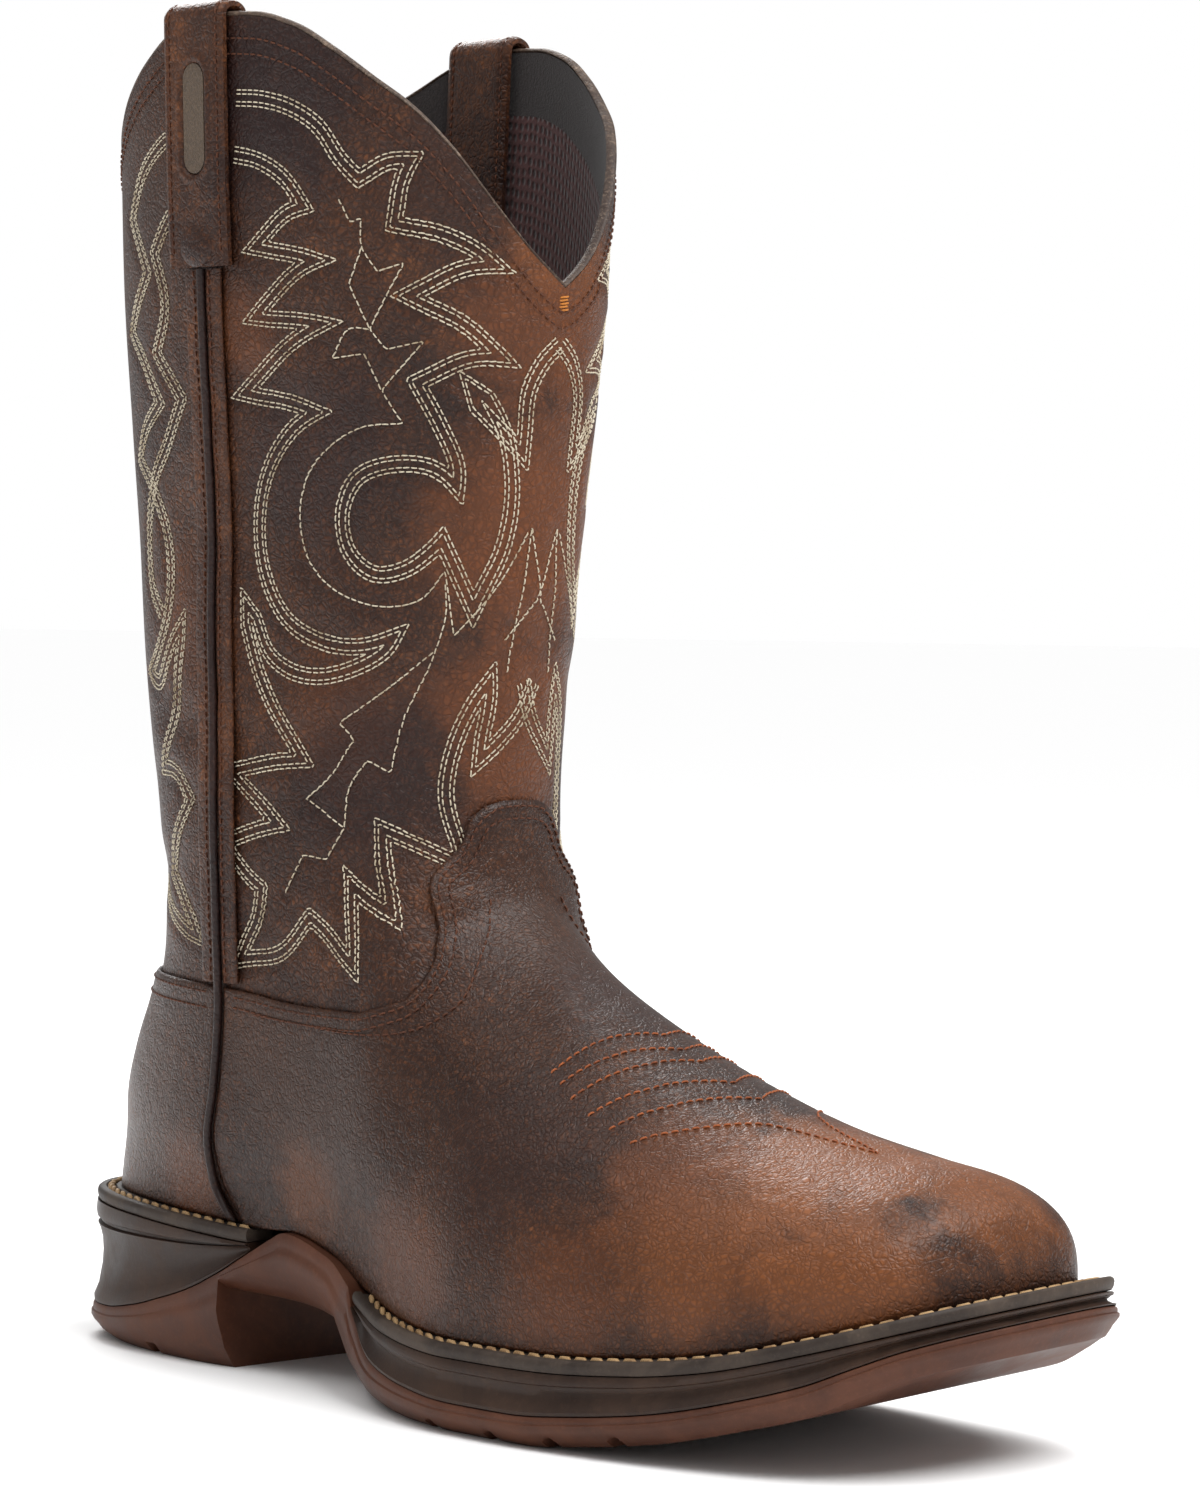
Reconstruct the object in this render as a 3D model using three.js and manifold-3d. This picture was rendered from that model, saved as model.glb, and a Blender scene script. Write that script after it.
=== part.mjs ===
// Western pull-on work boot, right foot, standing empty on its sole.
// Millimetres. X runs from the heel to the toe, Y to the inner (medial) side, Z up from the floor.

import * as THREE from 'three';
import { mergeVertices } from 'three/addons/utils/BufferGeometryUtils.js';
import Module from 'manifold-3d';

const wasm = await Module();
wasm.setup();

// Foot and sole
const soleLength = 311;
const ballWidth = 110;
const heelHeight = 36;
const forefootHeight = 21.2;
const toeSpring = 27;
const archHeight = 20;
const breastX = 78.3;
const toeDrift = 6;
const toeSlant = 0.07;
const toeTwist = 0.045;

// Shaft and instep
const shaftHeight = 340.5;
const shaftWidth = 101;
const shaftFrontX = 157.2;
const instepHeight = 150;
const sideX = 80;

// Walls, layers and clearances
const fit = 0.3;
const wall = 2.4;
const overlay = 1.3;
const weltThickness = 3.2;
const weltStrip = 9.5;
const insoleThickness = 3;
const soleLip = 1.6;
const grooveWidth = 4;
const grooveDepth = 2.6;
const insoleFit = 0.5;
const pipingRadius = 1.1;
const stripWidth = 5.6;
const bindingHeight = 1;
const strapWidth = 23;
const strapThickness = 2.6;
const strapX = 76;
const strapDrop = 62;
const strapInside = 50;
const strapHeadroom = 0.6;
const patchWidth = 8.5;
const patchLength = 28;
const patchDrop = 25;
const patchPocket = 1.2;
const patchThickness = 0.6;

// Tables: one row for each section, columns named at the head, lengths as shares of the sizes above

function table(names, rows) {
  const keys = names.split(' ');
  return rows.map((row) => Object.fromEntries(keys.map((key, i) => [key, row[i]])));
}

// Half widths over the welt, and the welt's ledge outside the upper, as shares of ballWidth
const plan = table('at lateral medial ledge', [
  [0.00, 0.355, 0.355, 0.072],
  [0.12, 0.360, 0.360, 0.062],
  [0.25, 0.360, 0.360, 0.052],
  [0.32, 0.345, 0.330, 0.028],
  [0.38, 0.355, 0.312, 0.030],
  [0.43, 0.402, 0.312, 0.045],
  [0.49, 0.476, 0.352, 0.055],
  [0.54, 0.522, 0.392, 0.055],
  [0.59, 0.545, 0.427, 0.055],
  [0.65, 0.547, 0.454, 0.055],
  [0.71, 0.535, 0.460, 0.055],
  [0.78, 0.508, 0.450, 0.060],
  [0.85, 0.470, 0.425, 0.068],
  [0.92, 0.432, 0.403, 0.078],
  [1.00, 0.402, 0.383, 0.082],
]);

// Height of the welt top and of the upper's lower edge: heel lift and toe spring shares
const seatRows = table('at lift spring', [
  [0.00, 1.27, 0.00],
  [0.11, 1.20, 0.00],
  [0.21, 1.09, 0.00],
  [0.29, 1.03, 0.00],
  [0.324, 1.06, 0.00],
  [0.38, 0.80, 0.00],
  [0.43, 0.38, 0.00],
  [0.50, 0.10, 0.00],
  [0.59, 0.00, 0.00],
  [0.68, 0.00, 0.01],
  [0.77, 0.00, 0.08],
  [0.832, 0.00, 0.178],
  [0.911, 0.00, 0.40],
  [0.966, 0.00, 0.585],
  [1.01, 0.00, 0.74],
]);

// Floor side of the forefoot, share of toeSpring, and line between outsole and the layers on it,
// share of the stack between the floor side and the seat
const springRows = table('at ground', [
  [0.00, 0.00],
  [0.665, 0.00],
  [0.725, 0.07],
  [0.79, 0.18],
  [0.86, 0.37],
  [0.91, 0.53],
  [0.945, 0.73],
  [0.97, 0.87],
  [1.01, 1.00],
]);
const sidelineRows = table('at rise', [
  [0.00, 0.22],
  [0.08, 0.245],
  [0.13, 0.31],
  [0.17, 0.40],
  [0.21, 0.51],
  [0.25, 0.67],
  [0.28, 0.82],
  [0.308, 0.95],
  [0.324, 1.00],
  [0.424, 1.00],
  [0.431, 0.84],
  [0.444, 0.72],
  [0.458, 0.58],
  [0.483, 0.48],
  [0.54, 0.40],
  [0.61, 0.35],
  [0.75, 0.365],
  [0.88, 0.395],
  [0.95, 0.43],
  [1.01, 0.51],
]);

// Underside of the arch, share of archHeight
const archRows = table('at height', [
  [0.25, 1.00],
  [0.33, 0.92],
  [0.37, 0.80],
  [0.390, 0.60],
  [0.400, 0.28],
  [0.418, 0.08],
  [0.448, 0.00],
]);

// Inset of the outsole's floor edge from the welt outline, share of ballWidth
const tuckRows = table('at inset', [
  [0.00, 0.045],
  [0.20, 0.036],
  [0.31, 0.062],
  [0.41, 0.062],
  [0.51, 0.042],
  [0.80, 0.030],
  [1.00, 0.012],
]);

// Middle line of the upper from the toe over the instep to the front dip of the collar:
// x as a share of soleLength, z as a share of instepHeight
const frontRows = table('x z', [
  [0.967, 0.318],
  [0.955, 0.372],
  [0.924, 0.412],
  [0.863, 0.437],
  [0.780, 0.477],
  [0.690, 0.546],
  [0.596, 0.634],
  [0.520, 0.722],
  [0.464, 0.840],
  [0.460, 0.985],
  [0.477, 1.240],
  [0.494, 1.540],
]);

// Back line of the upper: x as a share of soleLength, z as a share of shaftHeight
const backRows = table('x z', [
  [0.0275, 0.155],
  [0.0290, 0.195],
  [0.0450, 0.234],
  [0.0670, 0.270],
  [0.0820, 0.306],
  [0.0860, 0.345],
  [0.0830, 0.390],
  [0.0720, 0.432],
  [0.0500, 0.510],
  [0.0368, 0.600],
  [0.0278, 0.700],
  [0.0230, 0.800],
]);

// Half width of heel, ankle and shaft by height, shares of shaftHeight and shaftWidth
const girthRows = table('z half', [
  [0.00, 0.345],
  [0.12, 0.350],
  [0.18, 0.376],
  [0.26, 0.383],
  [0.35, 0.400],
  [0.43, 0.412],
  [0.52, 0.404],
  [0.60, 0.404],
  [0.70, 0.428],
  [0.80, 0.464],
  [0.88, 0.484],
  [1.00, 0.500],
]);

// Collar height around the shaft from the back (0) over the side to the front (1)
const collarRows = table('around z', [
  [0.00, 0.875],
  [0.12, 0.893],
  [0.23, 0.925],
  [0.30, 0.952],
  [0.364, 0.974],
  [0.43, 0.993],
  [0.50, 1.000],
  [0.558, 0.998],
  [0.613, 0.988],
  [0.665, 0.969],
  [0.717, 0.947],
  [0.768, 0.926],
  [0.823, 0.896],
  [0.882, 0.858],
  [0.940, 0.826],
  [1.00, 0.802],
]);

// Cross-section of the foot along the sole. Fullness 2 is an ellipse, more is boxier; flare is the
// swell above the lower edge, as a share of ballWidth
const domeRows = table('at fullness flare', [
  [0.25, 2.1, 0.045],
  [0.32, 2.1, 0.044],
  [0.38, 2.1, 0.050],
  [0.43, 2.0, 0.042],
  [0.49, 2.0, 0.020],
  [0.55, 2.0, 0.012],
  [0.70, 2.1, 0.012],
  [0.85, 2.5, 0.012],
  [1.00, 3.0, 0.010],
]);

// Upper edge of the vamp and counter on the boot's side: x as a share of soleLength, z as a share
// of instepHeight. Further forward it is seen from the front, as the outline of the tongue:
// y as a share of shaftWidth
const sideEdge = table('x z', [
  [-0.10, 0.664],
  [0.10, 0.660],
  [0.25, 0.650],
  [0.34, 0.630],
  [0.42, 0.628],
]);
const tongueEdge = table('y z', [
  [0.70, 0.628],
  [0.392, 0.630],
  [0.354, 0.652],
  [0.320, 0.680],
  [0.282, 0.720],
  [0.254, 0.767],
  [0.252, 0.800],
  [0.256, 0.823],
  [0.245, 0.848],
  [0.215, 0.870],
  [0.180, 0.888],
  [0.160, 0.908],
  [0.150, 0.930],
  [0.135, 0.950],
  [0.100, 0.968],
  [0.055, 0.977],
]);

// Side seam from the welt to the strap: x from the shaft's middle line, as a share of shaftWidth,
// and height as a share of shaftHeight
const seamRows = table('x z', [
  [0.040, 0.090],
  [0.020, 0.104],
  [-0.030, 0.117],
  [-0.078, 0.139],
  [-0.086, 0.165],
  [-0.055, 0.215],
  [-0.034, 0.285],
  [-0.033, 0.420],
  [-0.060, 0.570],
  [-0.055, 0.714],
  [-0.040, 0.820],
]);

// Smooth value between table rows that keeps to the rows' own range
function follow(rows, key, value) {
  const xs = rows.map((row) => row[key]);
  const ys = rows.map((row) => row[value]);
  const steps = xs.slice(1).map((x, i) => (ys[i + 1] - ys[i]) / (x - xs[i]));
  const slopes = xs.map((x, i) => {
    const before = steps[Math.max(i - 1, 0)];
    const after = steps[Math.min(i, steps.length - 1)];
    return before * after <= 0 ? 0 : (2 * before * after) / (before + after);
  });
  return (x) => {
    const last = xs.length - 1;
    if (x <= xs[0]) return ys[0];
    if (x >= xs[last]) return ys[last];
    const i = xs.findIndex((next) => next > x) - 1;
    const h = xs[i + 1] - xs[i];
    const t = (x - xs[i]) / h;
    const start = ys[i] + h * slopes[i] * t * (1 - t);
    const end = ys[i + 1] - h * slopes[i + 1] * t * (1 - t);
    const blend = t * t * (3 - 2 * t);
    return ys[i] * (1 - blend) + ys[i + 1] * blend
      + (start - ys[i]) * (1 - t) + (end - ys[i + 1]) * t;
  };
}

const mix = (a, b, t) => a + (b - a) * t;
const ease = (t) => THREE.MathUtils.smoothstep(t, 0, 1);

// Heights along the boot

const lift = follow(seatRows, 'at', 'lift');
const spring = follow(seatRows, 'at', 'spring');
const ground = follow(springRows, 'at', 'ground');
const rise = follow(sidelineRows, 'at', 'rise');
const archShape = follow(archRows, 'at', 'height');

function seat(x) {
  const at = x / soleLength;
  return forefootHeight + (heelHeight - forefootHeight) * lift(at) + toeSpring * spring(at);
}

function floorSide(x) {
  return toeSpring * ground(x / soleLength);
}

function sideline(x) {
  return mix(floorSide(x), seat(x), rise(x / soleLength));
}

// The heel breast stands at the station, the rest follows the bent x
function underside(x, station) {
  if (station < breastX) return 0;
  return Math.max(archHeight * archShape(station / soleLength), floorSide(x));
}

// Plan outline of the welt. A column is a station u: 0 to 1 round the heel, 1 to 2 along the sides,
// 2 to 3 round the toe. Every layer of the boot has its points on the same columns.

const heelCapX = soleLength * 0.25;
const toeCapX = soleLength * 0.85;
const heelRoundness = 2.7;
const toeRoundness = 3;
const halfPlan = {
  lateral: follow(plan, 'at', 'lateral'),
  medial: follow(plan, 'at', 'medial'),
};
const sides = { lateral: -1, medial: 1 };
const ledgeShare = follow(plan, 'at', 'ledge');
const ledge = (x) => ballWidth * ledgeShare(x / soleLength);

function planPoint(u, side) {
  let x = mix(heelCapX, toeCapX, u - 1);
  let shrink = 1;
  if (u < 1) {
    const turn = (u * Math.PI) / 2;
    x = heelCapX * (1 - Math.cos(turn) ** (2 / heelRoundness));
    shrink = Math.sin(turn) ** (2 / heelRoundness);
  }
  if (u > 2) {
    const turn = ((u - 2) * Math.PI) / 2;
    x = toeCapX + (soleLength - toeCapX) * Math.sin(turn) ** (2 / toeRoundness);
    shrink = Math.max(Math.cos(turn), 0) ** (2 / toeRoundness);
  }
  return new THREE.Vector2(x, sides[side] * halfPlan[side](x / soleLength) * ballWidth * shrink);
}

// The outline moved inwards by an inset, square to itself
function insetPoint(u, side, inset) {
  const point = planPoint(u, side);
  const step = 0.004;
  if (u <= 0) return new THREE.Vector2(point.x + inset, 0);
  if (u >= 3) return new THREE.Vector2(point.x - inset, 0);
  const before = planPoint(Math.max(u - step, 0), side);
  const along = planPoint(Math.min(u + step, 3), side).sub(before).normalize();
  const inwards = new THREE.Vector2(along.y, -along.x).multiplyScalar(sides[side]);
  return point.add(inwards.multiplyScalar(inset));
}

function featherPoint(u, side, extra = 0) {
  return insetPoint(u, side, ledge(planPoint(u, side).x) + extra);
}

function stationOf(x) {
  if (x > heelCapX) return 1 + (x - heelCapX) / (toeCapX - heelCapX);
  return (Math.acos((1 - x / heelCapX) ** (heelRoundness / 2)) * 2) / Math.PI;
}

const heelTurns = [0, 1 / 6, 2 / 6, 3 / 6, 4 / 6, 5 / 6];
const toeTurns = [0, 1 / 6, 2 / 6, 3 / 6, 4 / 6, 5 / 6, 1].map((turn) => 2 + turn);
const sideShares = [0.262, 0.285, 0.308, 0.335, 0.365, 0.395, 0.418, 0.432, 0.45, 0.48, 0.53,
  0.59, 0.65, 0.715, 0.785];
const sideStations = sideShares.map((share) => stationOf(share * soleLength));
const breastStations = [-0.3, 0.3].map((shift) => stationOf(breastX + shift));
const upperColumns = [...heelTurns, 1, ...sideStations, ...toeTurns];
const soleColumns = [...heelTurns, ...breastStations, ...sideStations, ...toeTurns]
  .sort((a, b) => a - b);

// The last's plan bends to the inner side at the toe, the toe's front edge runs aslant,
// and the forefoot twists so that its inner side lies higher

function bend(point) {
  const reach = Math.max((point.x - soleLength * 0.55) / (soleLength * 0.45), 0);
  const toe = ease((point.x - soleLength * 0.8) / (soleLength * 0.17));
  point.y += toeDrift * reach * reach;
  point.x += toeSlant * toe * point.y;
  return point;
}

function twist(x, y) {
  const reach = ease((x - soleLength * 0.6) / (soleLength * 0.28));
  return toeTwist * reach * (y + ballWidth * 0.41);
}

// Meshes from rows of columns

function solidGeometry(triangles) {
  const vertices = triangles.flatMap((triangle) => triangle.flatMap((p) => [p.x, p.y, p.z]));
  let geometry = new THREE.BufferGeometry();
  geometry.setAttribute('position', new THREE.Float32BufferAttribute(vertices, 3));
  geometry = mergeVertices(geometry, 1e-4);
  const index = geometry.index.array;
  const kept = [];
  for (let i = 0; i < index.length; i += 3) {
    const [a, b, c] = [index[i], index[i + 1], index[i + 2]];
    if (a !== b && b !== c && c !== a) kept.push(a, b, c);
  }
  geometry.setIndex(kept);
  return geometry;
}

function quad(a, b, c, d) {
  return [[a, b, c], [a, c, d]];
}

// A ring runs heel to toe on the lateral side and back on the medial side
function ringOf(columns) {
  return [...columns.map((column) => column.lateral),
    ...columns.map((column) => column.medial).reverse()];
}

function wallBetween(lower, upper) {
  const a = ringOf(lower);
  const b = ringOf(upper);
  return a.flatMap((point, i) => {
    const j = (i + 1) % a.length;
    return quad(point, a[j], b[j], b[i]);
  });
}

function cover(columns, up) {
  const faces = columns.slice(1).flatMap((next, i) => {
    const here = columns[i];
    return quad(here.lateral, next.lateral, next.medial, here.medial);
  });
  return up ? faces : faces.map((face) => [...face].reverse());
}

// A solid stacked from rows of columns, closed by a cover below and above
function stack(rows) {
  const walls = rows.slice(1).flatMap((row, i) => wallBetween(rows[i], row));
  return solidGeometry([...cover(rows[0], false), ...walls, ...cover(rows[rows.length - 1], true)]);
}

// A solid swept through closed sections, ring-shaped when closed, else with flat ends
function sweep(sections, closed) {
  const count = sections[0].length;
  const faces = [];
  const spans = closed ? sections.length : sections.length - 1;
  for (let i = 0; i < spans; i += 1) {
    const here = sections[i];
    const next = sections[(i + 1) % sections.length];
    for (let k = 0; k < count; k += 1) {
      const l = (k + 1) % count;
      faces.push(...quad(here[k], here[l], next[l], next[k]));
    }
  }
  if (!closed) {
    const first = sections[0];
    const last = sections[sections.length - 1];
    for (let k = 1; k < count - 1; k += 1) {
      faces.push([first[0], first[k + 1], first[k]]);
      faces.push([last[0], last[k], last[k + 1]]);
    }
  }
  return solidGeometry(faces);
}

function toManifold(geometry) {
  const bare = new THREE.BufferGeometry();
  bare.setAttribute('position', geometry.getAttribute('position').clone());
  if (geometry.index) bare.setIndex(geometry.index.clone());
  const merged = mergeVertices(bare, 1e-4);
  return new wasm.Manifold(new wasm.Mesh({
    numProp: 3,
    vertProperties: new Float32Array(merged.getAttribute('position').array),
    triVerts: new Uint32Array(merged.index.array),
  }));
}

function toGeometry(solid) {
  const mesh = solid.getMesh();
  const geometry = new THREE.BufferGeometry();
  geometry.setAttribute('position', new THREE.BufferAttribute(mesh.vertProperties, 3));
  geometry.setIndex(new THREE.BufferAttribute(mesh.triVerts, 1));
  return geometry;
}

// Sole layers

const tuck = follow(tuckRows, 'at', 'inset');

// One row of a layer: each column at an inset and a height, both functions of the station's x
function soleRow(stations, insetAt, heightAt) {
  return stations.map((u) => {
    const column = {};
    for (const side of Object.keys(sides)) {
      const station = planPoint(u, side).x;
      const flat = bend(insetPoint(u, side, insetAt(station)));
      const height = heightAt(flat.x, station) + twist(flat.x, flat.y);
      column[side] = new THREE.Vector3(flat.x, flat.y, Math.max(height, 0));
    }
    return column;
  });
}

function outsoleGeometry() {
  const tuckAt = (x) => ballWidth * tuck(x / soleLength);
  const between = (share) => (x, station) => mix(underside(x, station), sideline(x), share);
  const rows = [
    soleRow(soleColumns, tuckAt, underside),
    soleRow(soleColumns, (x) => tuckAt(x) * 0.25, between(0.22)),
    soleRow(soleColumns, () => -soleLip, between(0.62)),
    soleRow(soleColumns, () => -soleLip * 0.5, between(1)),
  ];
  let solid = toManifold(stack(rows));
  const grooves = [0.055, 0.15, 0.47, 0.571, 0.64, 0.70, 0.76];
  for (const share of grooves) {
    const x = share * soleLength;
    const bar = new THREE.CylinderGeometry(grooveWidth / 2, grooveWidth / 2, ballWidth * 2, 10);
    bar.scale(1, 1, (2 * grooveDepth) / grooveWidth);
    bar.translate(x, 0, floorSide(x));
    solid = solid.subtract(toManifold(bar));
  }
  return toGeometry(solid);
}

// A layer between the outsole and the upper, with a raised middle inside the welt strip
function midLayer(stations, bow) {
  const lower = (x) => sideline(x) + fit;
  const upper = (x) => seat(x) - weltThickness - fit;
  const inner = weltStrip + fit;
  return stack([
    soleRow(stations, () => -soleLip * 0.5, lower),
    soleRow(stations, () => bow, (x) => mix(lower(x), upper(x), 0.45)),
    soleRow(stations, () => bow * 0.4, upper),
    soleRow(stations, () => inner, upper),
    soleRow(stations, () => inner, seat),
  ]);
}

function weltGeometry(stations, open) {
  const section = (u, side) => {
    const corner = (inset, drop) => {
      const flat = bend(insetPoint(u, side, inset));
      return new THREE.Vector3(flat.x, flat.y, seat(flat.x) + twist(flat.x, flat.y) - drop);
    };
    return [corner(0, weltThickness), corner(0, 0.6), corner(0.6, 0), corner(weltStrip, 0),
      corner(weltStrip, weltThickness)];
  };
  const lateral = stations.map((u) => section(u, 'lateral'));
  const medial = stations.map((u) => section(u, 'medial'));
  return sweep(open === 'heel'
    ? [...lateral.slice(1).reverse(), ...medial]
    : [...medial, ...lateral.slice(0, -1).reverse()], false);
}

// The upper's form

const toeX = soleLength - ledge(soleLength);
const heelX = ledge(0);
const frontCurve = new THREE.CatmullRomCurve3(
  [new THREE.Vector3(toeX, 0, seat(toeX) + fit),
    ...frontRows.map((row) => new THREE.Vector3(row.x * soleLength, 0, row.z * instepHeight)),
    new THREE.Vector3(shaftFrontX, 0, shaftHeight * collarRows[collarRows.length - 1].z)],
  false, 'centripetal');
const backCurve = new THREE.CatmullRomCurve3(
  [new THREE.Vector3(heelX, 0, seat(heelX) + fit),
    ...backRows.map((row) => new THREE.Vector3(row.x * soleLength, 0, row.z * shaftHeight)),
    new THREE.Vector3(backRows[backRows.length - 1].x * soleLength, 0,
      shaftHeight * collarRows[0].z)],
  false, 'centripetal');
const frontSamples = frontCurve.getSpacedPoints(400);
const backSamples = backCurve.getSpacedPoints(200);

// Crossing of a sampled curve with a value of one coordinate, first to last
function crossing(samples, axis, value, wanted) {
  const first = samples[0];
  const last = samples[samples.length - 1];
  for (let i = 1; i < samples.length; i += 1) {
    const a = samples[i - 1];
    const b = samples[i];
    if ((a[axis] - value) * (b[axis] - value) <= 0 && a[axis] !== b[axis]) {
      return mix(a[wanted], b[wanted], (value - a[axis]) / (b[axis] - a[axis]));
    }
  }
  return Math.abs(first[axis] - value) < Math.abs(last[axis] - value) ? first[wanted] : last[wanted];
}

const frontX = (z) => crossing(frontSamples, 'z', z, 'x');
const backX = (z) => crossing(backSamples, 'z', z, 'x');
const ridgeZ = (x) => crossing(frontSamples, 'x', x, 'z');
const girth = follow(girthRows, 'z', 'half');
const fullness = follow(domeRows, 'at', 'fullness');
const flare = follow(domeRows, 'at', 'flare');
const narrowestX = Math.min(...frontSamples.map((point) => point.x));
const shaftRoundness = 2.15;

// Half width of the upper at a place in the side view
function shaftHalf(x, z) {
  const half = shaftWidth * girth(z / shaftHeight);
  const reach = x < sideX ? (sideX - x) / (sideX - backX(z)) : (x - sideX) / (frontX(z) - sideX);
  return half * Math.max(1 - Math.max(reach, 0) ** shaftRoundness, 0) ** (1 / shaftRoundness);
}

function featherHalf(x, side) {
  const columns = upperColumns;
  const i = Math.max(columns.findIndex((u) => featherPoint(u, side).x > x), 0);
  if (i === 0) return 0;
  const a = featherPoint(columns[i - 1], side);
  const b = featherPoint(columns[i], side);
  return Math.abs(mix(a.y, b.y, THREE.MathUtils.clamp((x - a.x) / (b.x - a.x), 0, 1)));
}

function footHalf(x, z, side) {
  const top = x > narrowestX ? ridgeZ(x) : instepHeight + (narrowestX - x) * 12;
  const share = THREE.MathUtils.clamp((z - seat(x)) / (top - seat(x)), 0, 1);
  const belly = ballWidth * flare(x / soleLength) * ease((z - seat(x)) / (forefootHeight * 1.5));
  return (featherHalf(x, side) + belly) * Math.sqrt(1 - share ** fullness(x / soleLength));
}

function halfWidth(x, z, side) {
  const along = ease((x - sideX) / (soleLength * 0.24));
  const low = 1 - ease((z - instepHeight * 0.62) / (instepHeight * 0.4));
  return mix(shaftHalf(x, z), footHalf(x, z, side), along * low);
}

// Rows of the upper's surface from the feather line (0) to the collar (1)
const collar = follow(collarRows, 'around', 'z');
const rowShares = [0, 0.025, 0.055, 0.09, 0.13, 0.17, 0.215, 0.26, 0.305, 0.35, 0.395, 0.44, 0.49,
  0.55, 0.62, 0.69, 0.76, 0.83, 0.91, 1];

function surfaceRow(share) {
  const front = frontCurve.getPointAt(share);
  const back = backCurve.getPointAt(share);
  const start = frontCurve.getPointAt(0);
  const heel = backCurve.getPointAt(0);
  const collarFront = shaftHeight * collar(1);
  const collarBack = shaftHeight * collar(0);
  const low = 1 - ease(share / 0.35);
  const high = ease((share - 0.4) / 0.6);
  return upperColumns.map((u) => {
    const column = {};
    for (const side of Object.keys(sides)) {
      const feather = featherPoint(u, side);
      const reach = (feather.x - heel.x) / (start.x - heel.x);
      const around = Math.acos(THREE.MathUtils.clamp(1 - 2 * reach, -1, 1)) / Math.PI;
      const sag = seat(feather.x) + fit - mix(heel.z, start.z, reach);
      const scallop = shaftHeight * collar(around) - mix(collarBack, collarFront, reach);
      const x = mix(back.x, front.x, reach);
      const z = mix(back.z, front.z, reach) + low * sag + high * scallop;
      const tip = u <= 0 || u >= 3;
      const foot = 1 - ease((z - seat(x)) / 22);
      const settle = foot * (Math.abs(feather.y) - halfWidth(feather.x, seat(feather.x), side));
      const half = tip ? 0 : Math.max(halfWidth(x, z, side) + settle, 0.2);
      column[side] = new THREE.Vector3(x, sides[side] * half, z);
    }
    return column;
  });
}

const surface = rowShares.map(surfaceRow);

// Outward normal of the surface grid at one row and column
function normalAt(row, index, side) {
  const ring = ringOf(surface[row]);
  const count = ring.length;
  const place = side === 'lateral' ? index : count - 1 - index;
  const tip = index === 0 || index === upperColumns.length - 1;
  let before = ring[(place + count - 1) % count];
  let after = ring[(place + 1) % count];
  if (tip) {
    const beside = index === 0 ? 1 : index - 1;
    before = surface[row][beside].lateral;
    after = surface[row][beside].medial;
    if (index === 0) [before, after] = [after, before];
  }
  const under = surface[Math.max(row - 1, 0)][index][side];
  const over = surface[Math.min(row + 1, surface.length - 1)][index][side];
  const normal = after.clone().sub(before).cross(over.clone().sub(under)).normalize();
  const edge = row === 0 || row === surface.length - 1;
  if (edge) normal.setZ(0).normalize();
  return normal;
}

const normals = surface.map((row, r) => row.map((column, c) => ({
  lateral: normalAt(r, c, 'lateral'),
  medial: normalAt(r, c, 'medial'),
})));

// The surface moved outwards by an offset; the lowest row keeps to the seat
function formRows(offset) {
  return surface.map((row, r) => row.map((column, c) => {
    const moved = {};
    for (const side of Object.keys(sides)) {
      const point = column[side].clone().addScaledVector(normals[r][c][side], offset);
      const level = seat(point.x);
      bend(point);
      const close = 1 - ease((point.z - level - fit) / (forefootHeight * 2));
      point.z += (seat(point.x) - level) * close;
      if (r === 0) point.z = seat(point.x) + fit;
      point.z += twist(point.x, point.y);
      moved[side] = point;
    }
    return moved;
  }));
}

function upperGeometry() {
  const outer = formRows(0);
  const inner = formRows(-wall);
  const top = outer.length - 1;
  const rim = (a, b) => {
    const from = ringOf(a);
    const to = ringOf(b);
    return from.flatMap((point, i) => {
      const j = (i + 1) % from.length;
      return quad(point, from[j], to[j], to[i]);
    });
  };
  const outside = outer.slice(1).flatMap((row, i) => wallBetween(outer[i], row));
  const inside = inner.slice(1).flatMap((row, i) => wallBetween(inner[i], row));
  return solidGeometry([...outside, ...inside.map((face) => [...face].reverse()),
    ...rim(outer[top], inner[top]), ...rim(inner[0], outer[0])]);
}

// Overlays: skins cut between two larger forms of the upper

// A prism through a closed outline of [across, z] pairs, lengthwise along Y or X
function prism(outline, axis, from, to) {
  const shape = new THREE.Shape(outline.map(([across, z]) => new THREE.Vector2(across, z)));
  const geometry = new THREE.ExtrudeGeometry(shape, { depth: to - from, bevelEnabled: false });
  const up = new THREE.Vector3(0, 0, 1);
  const along = axis === 'y' ? new THREE.Vector3(0, -1, 0) : new THREE.Vector3(1, 0, 0);
  const across = axis === 'y' ? new THREE.Vector3(1, 0, 0) : new THREE.Vector3(0, 1, 0);
  geometry.applyMatrix4(new THREE.Matrix4().makeBasis(across, up, along));
  if (axis === 'y') geometry.translate(0, to, 0);
  if (axis === 'x') geometry.translate(from, 0, 0);
  return toManifold(geometry);
}

function formSolid(offset, past) {
  const rows = formRows(offset);
  const shifted = (row, rise) => row.map((column) => ({
    lateral: column.lateral.clone().setZ(column.lateral.z + rise),
    medial: column.medial.clone().setZ(column.medial.z + rise),
  }));
  if (past === 0) return toManifold(stack(rows));
  return toManifold(stack([shifted(rows[0], -past), ...rows,
    shifted(rows[rows.length - 1], past)]));
}

const clearOfUpper = formSolid(fit * 1.2, 5);
const skin = formSolid(fit + overlay, 0).subtract(clearOfUpper);
const reach = soleLength;
const seamShift = follow(seamRows, 'z', 'x');
const seamX = (z) => sideX + shaftWidth * seamShift(z / shaftHeight);
const seamHeights = seamRows.map((row) => row.z * shaftHeight);
const seamGap = pipingRadius + fit;
const strapBottom = shaftHeight - strapDrop;
const edgeHeight = follow(sideEdge, 'x', 'z');
const sideEdgeZ = (x) => instepHeight * edgeHeight(x / soleLength);
const sideEdgeEnd = sideEdge[sideEdge.length - 1].x * soleLength;

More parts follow.
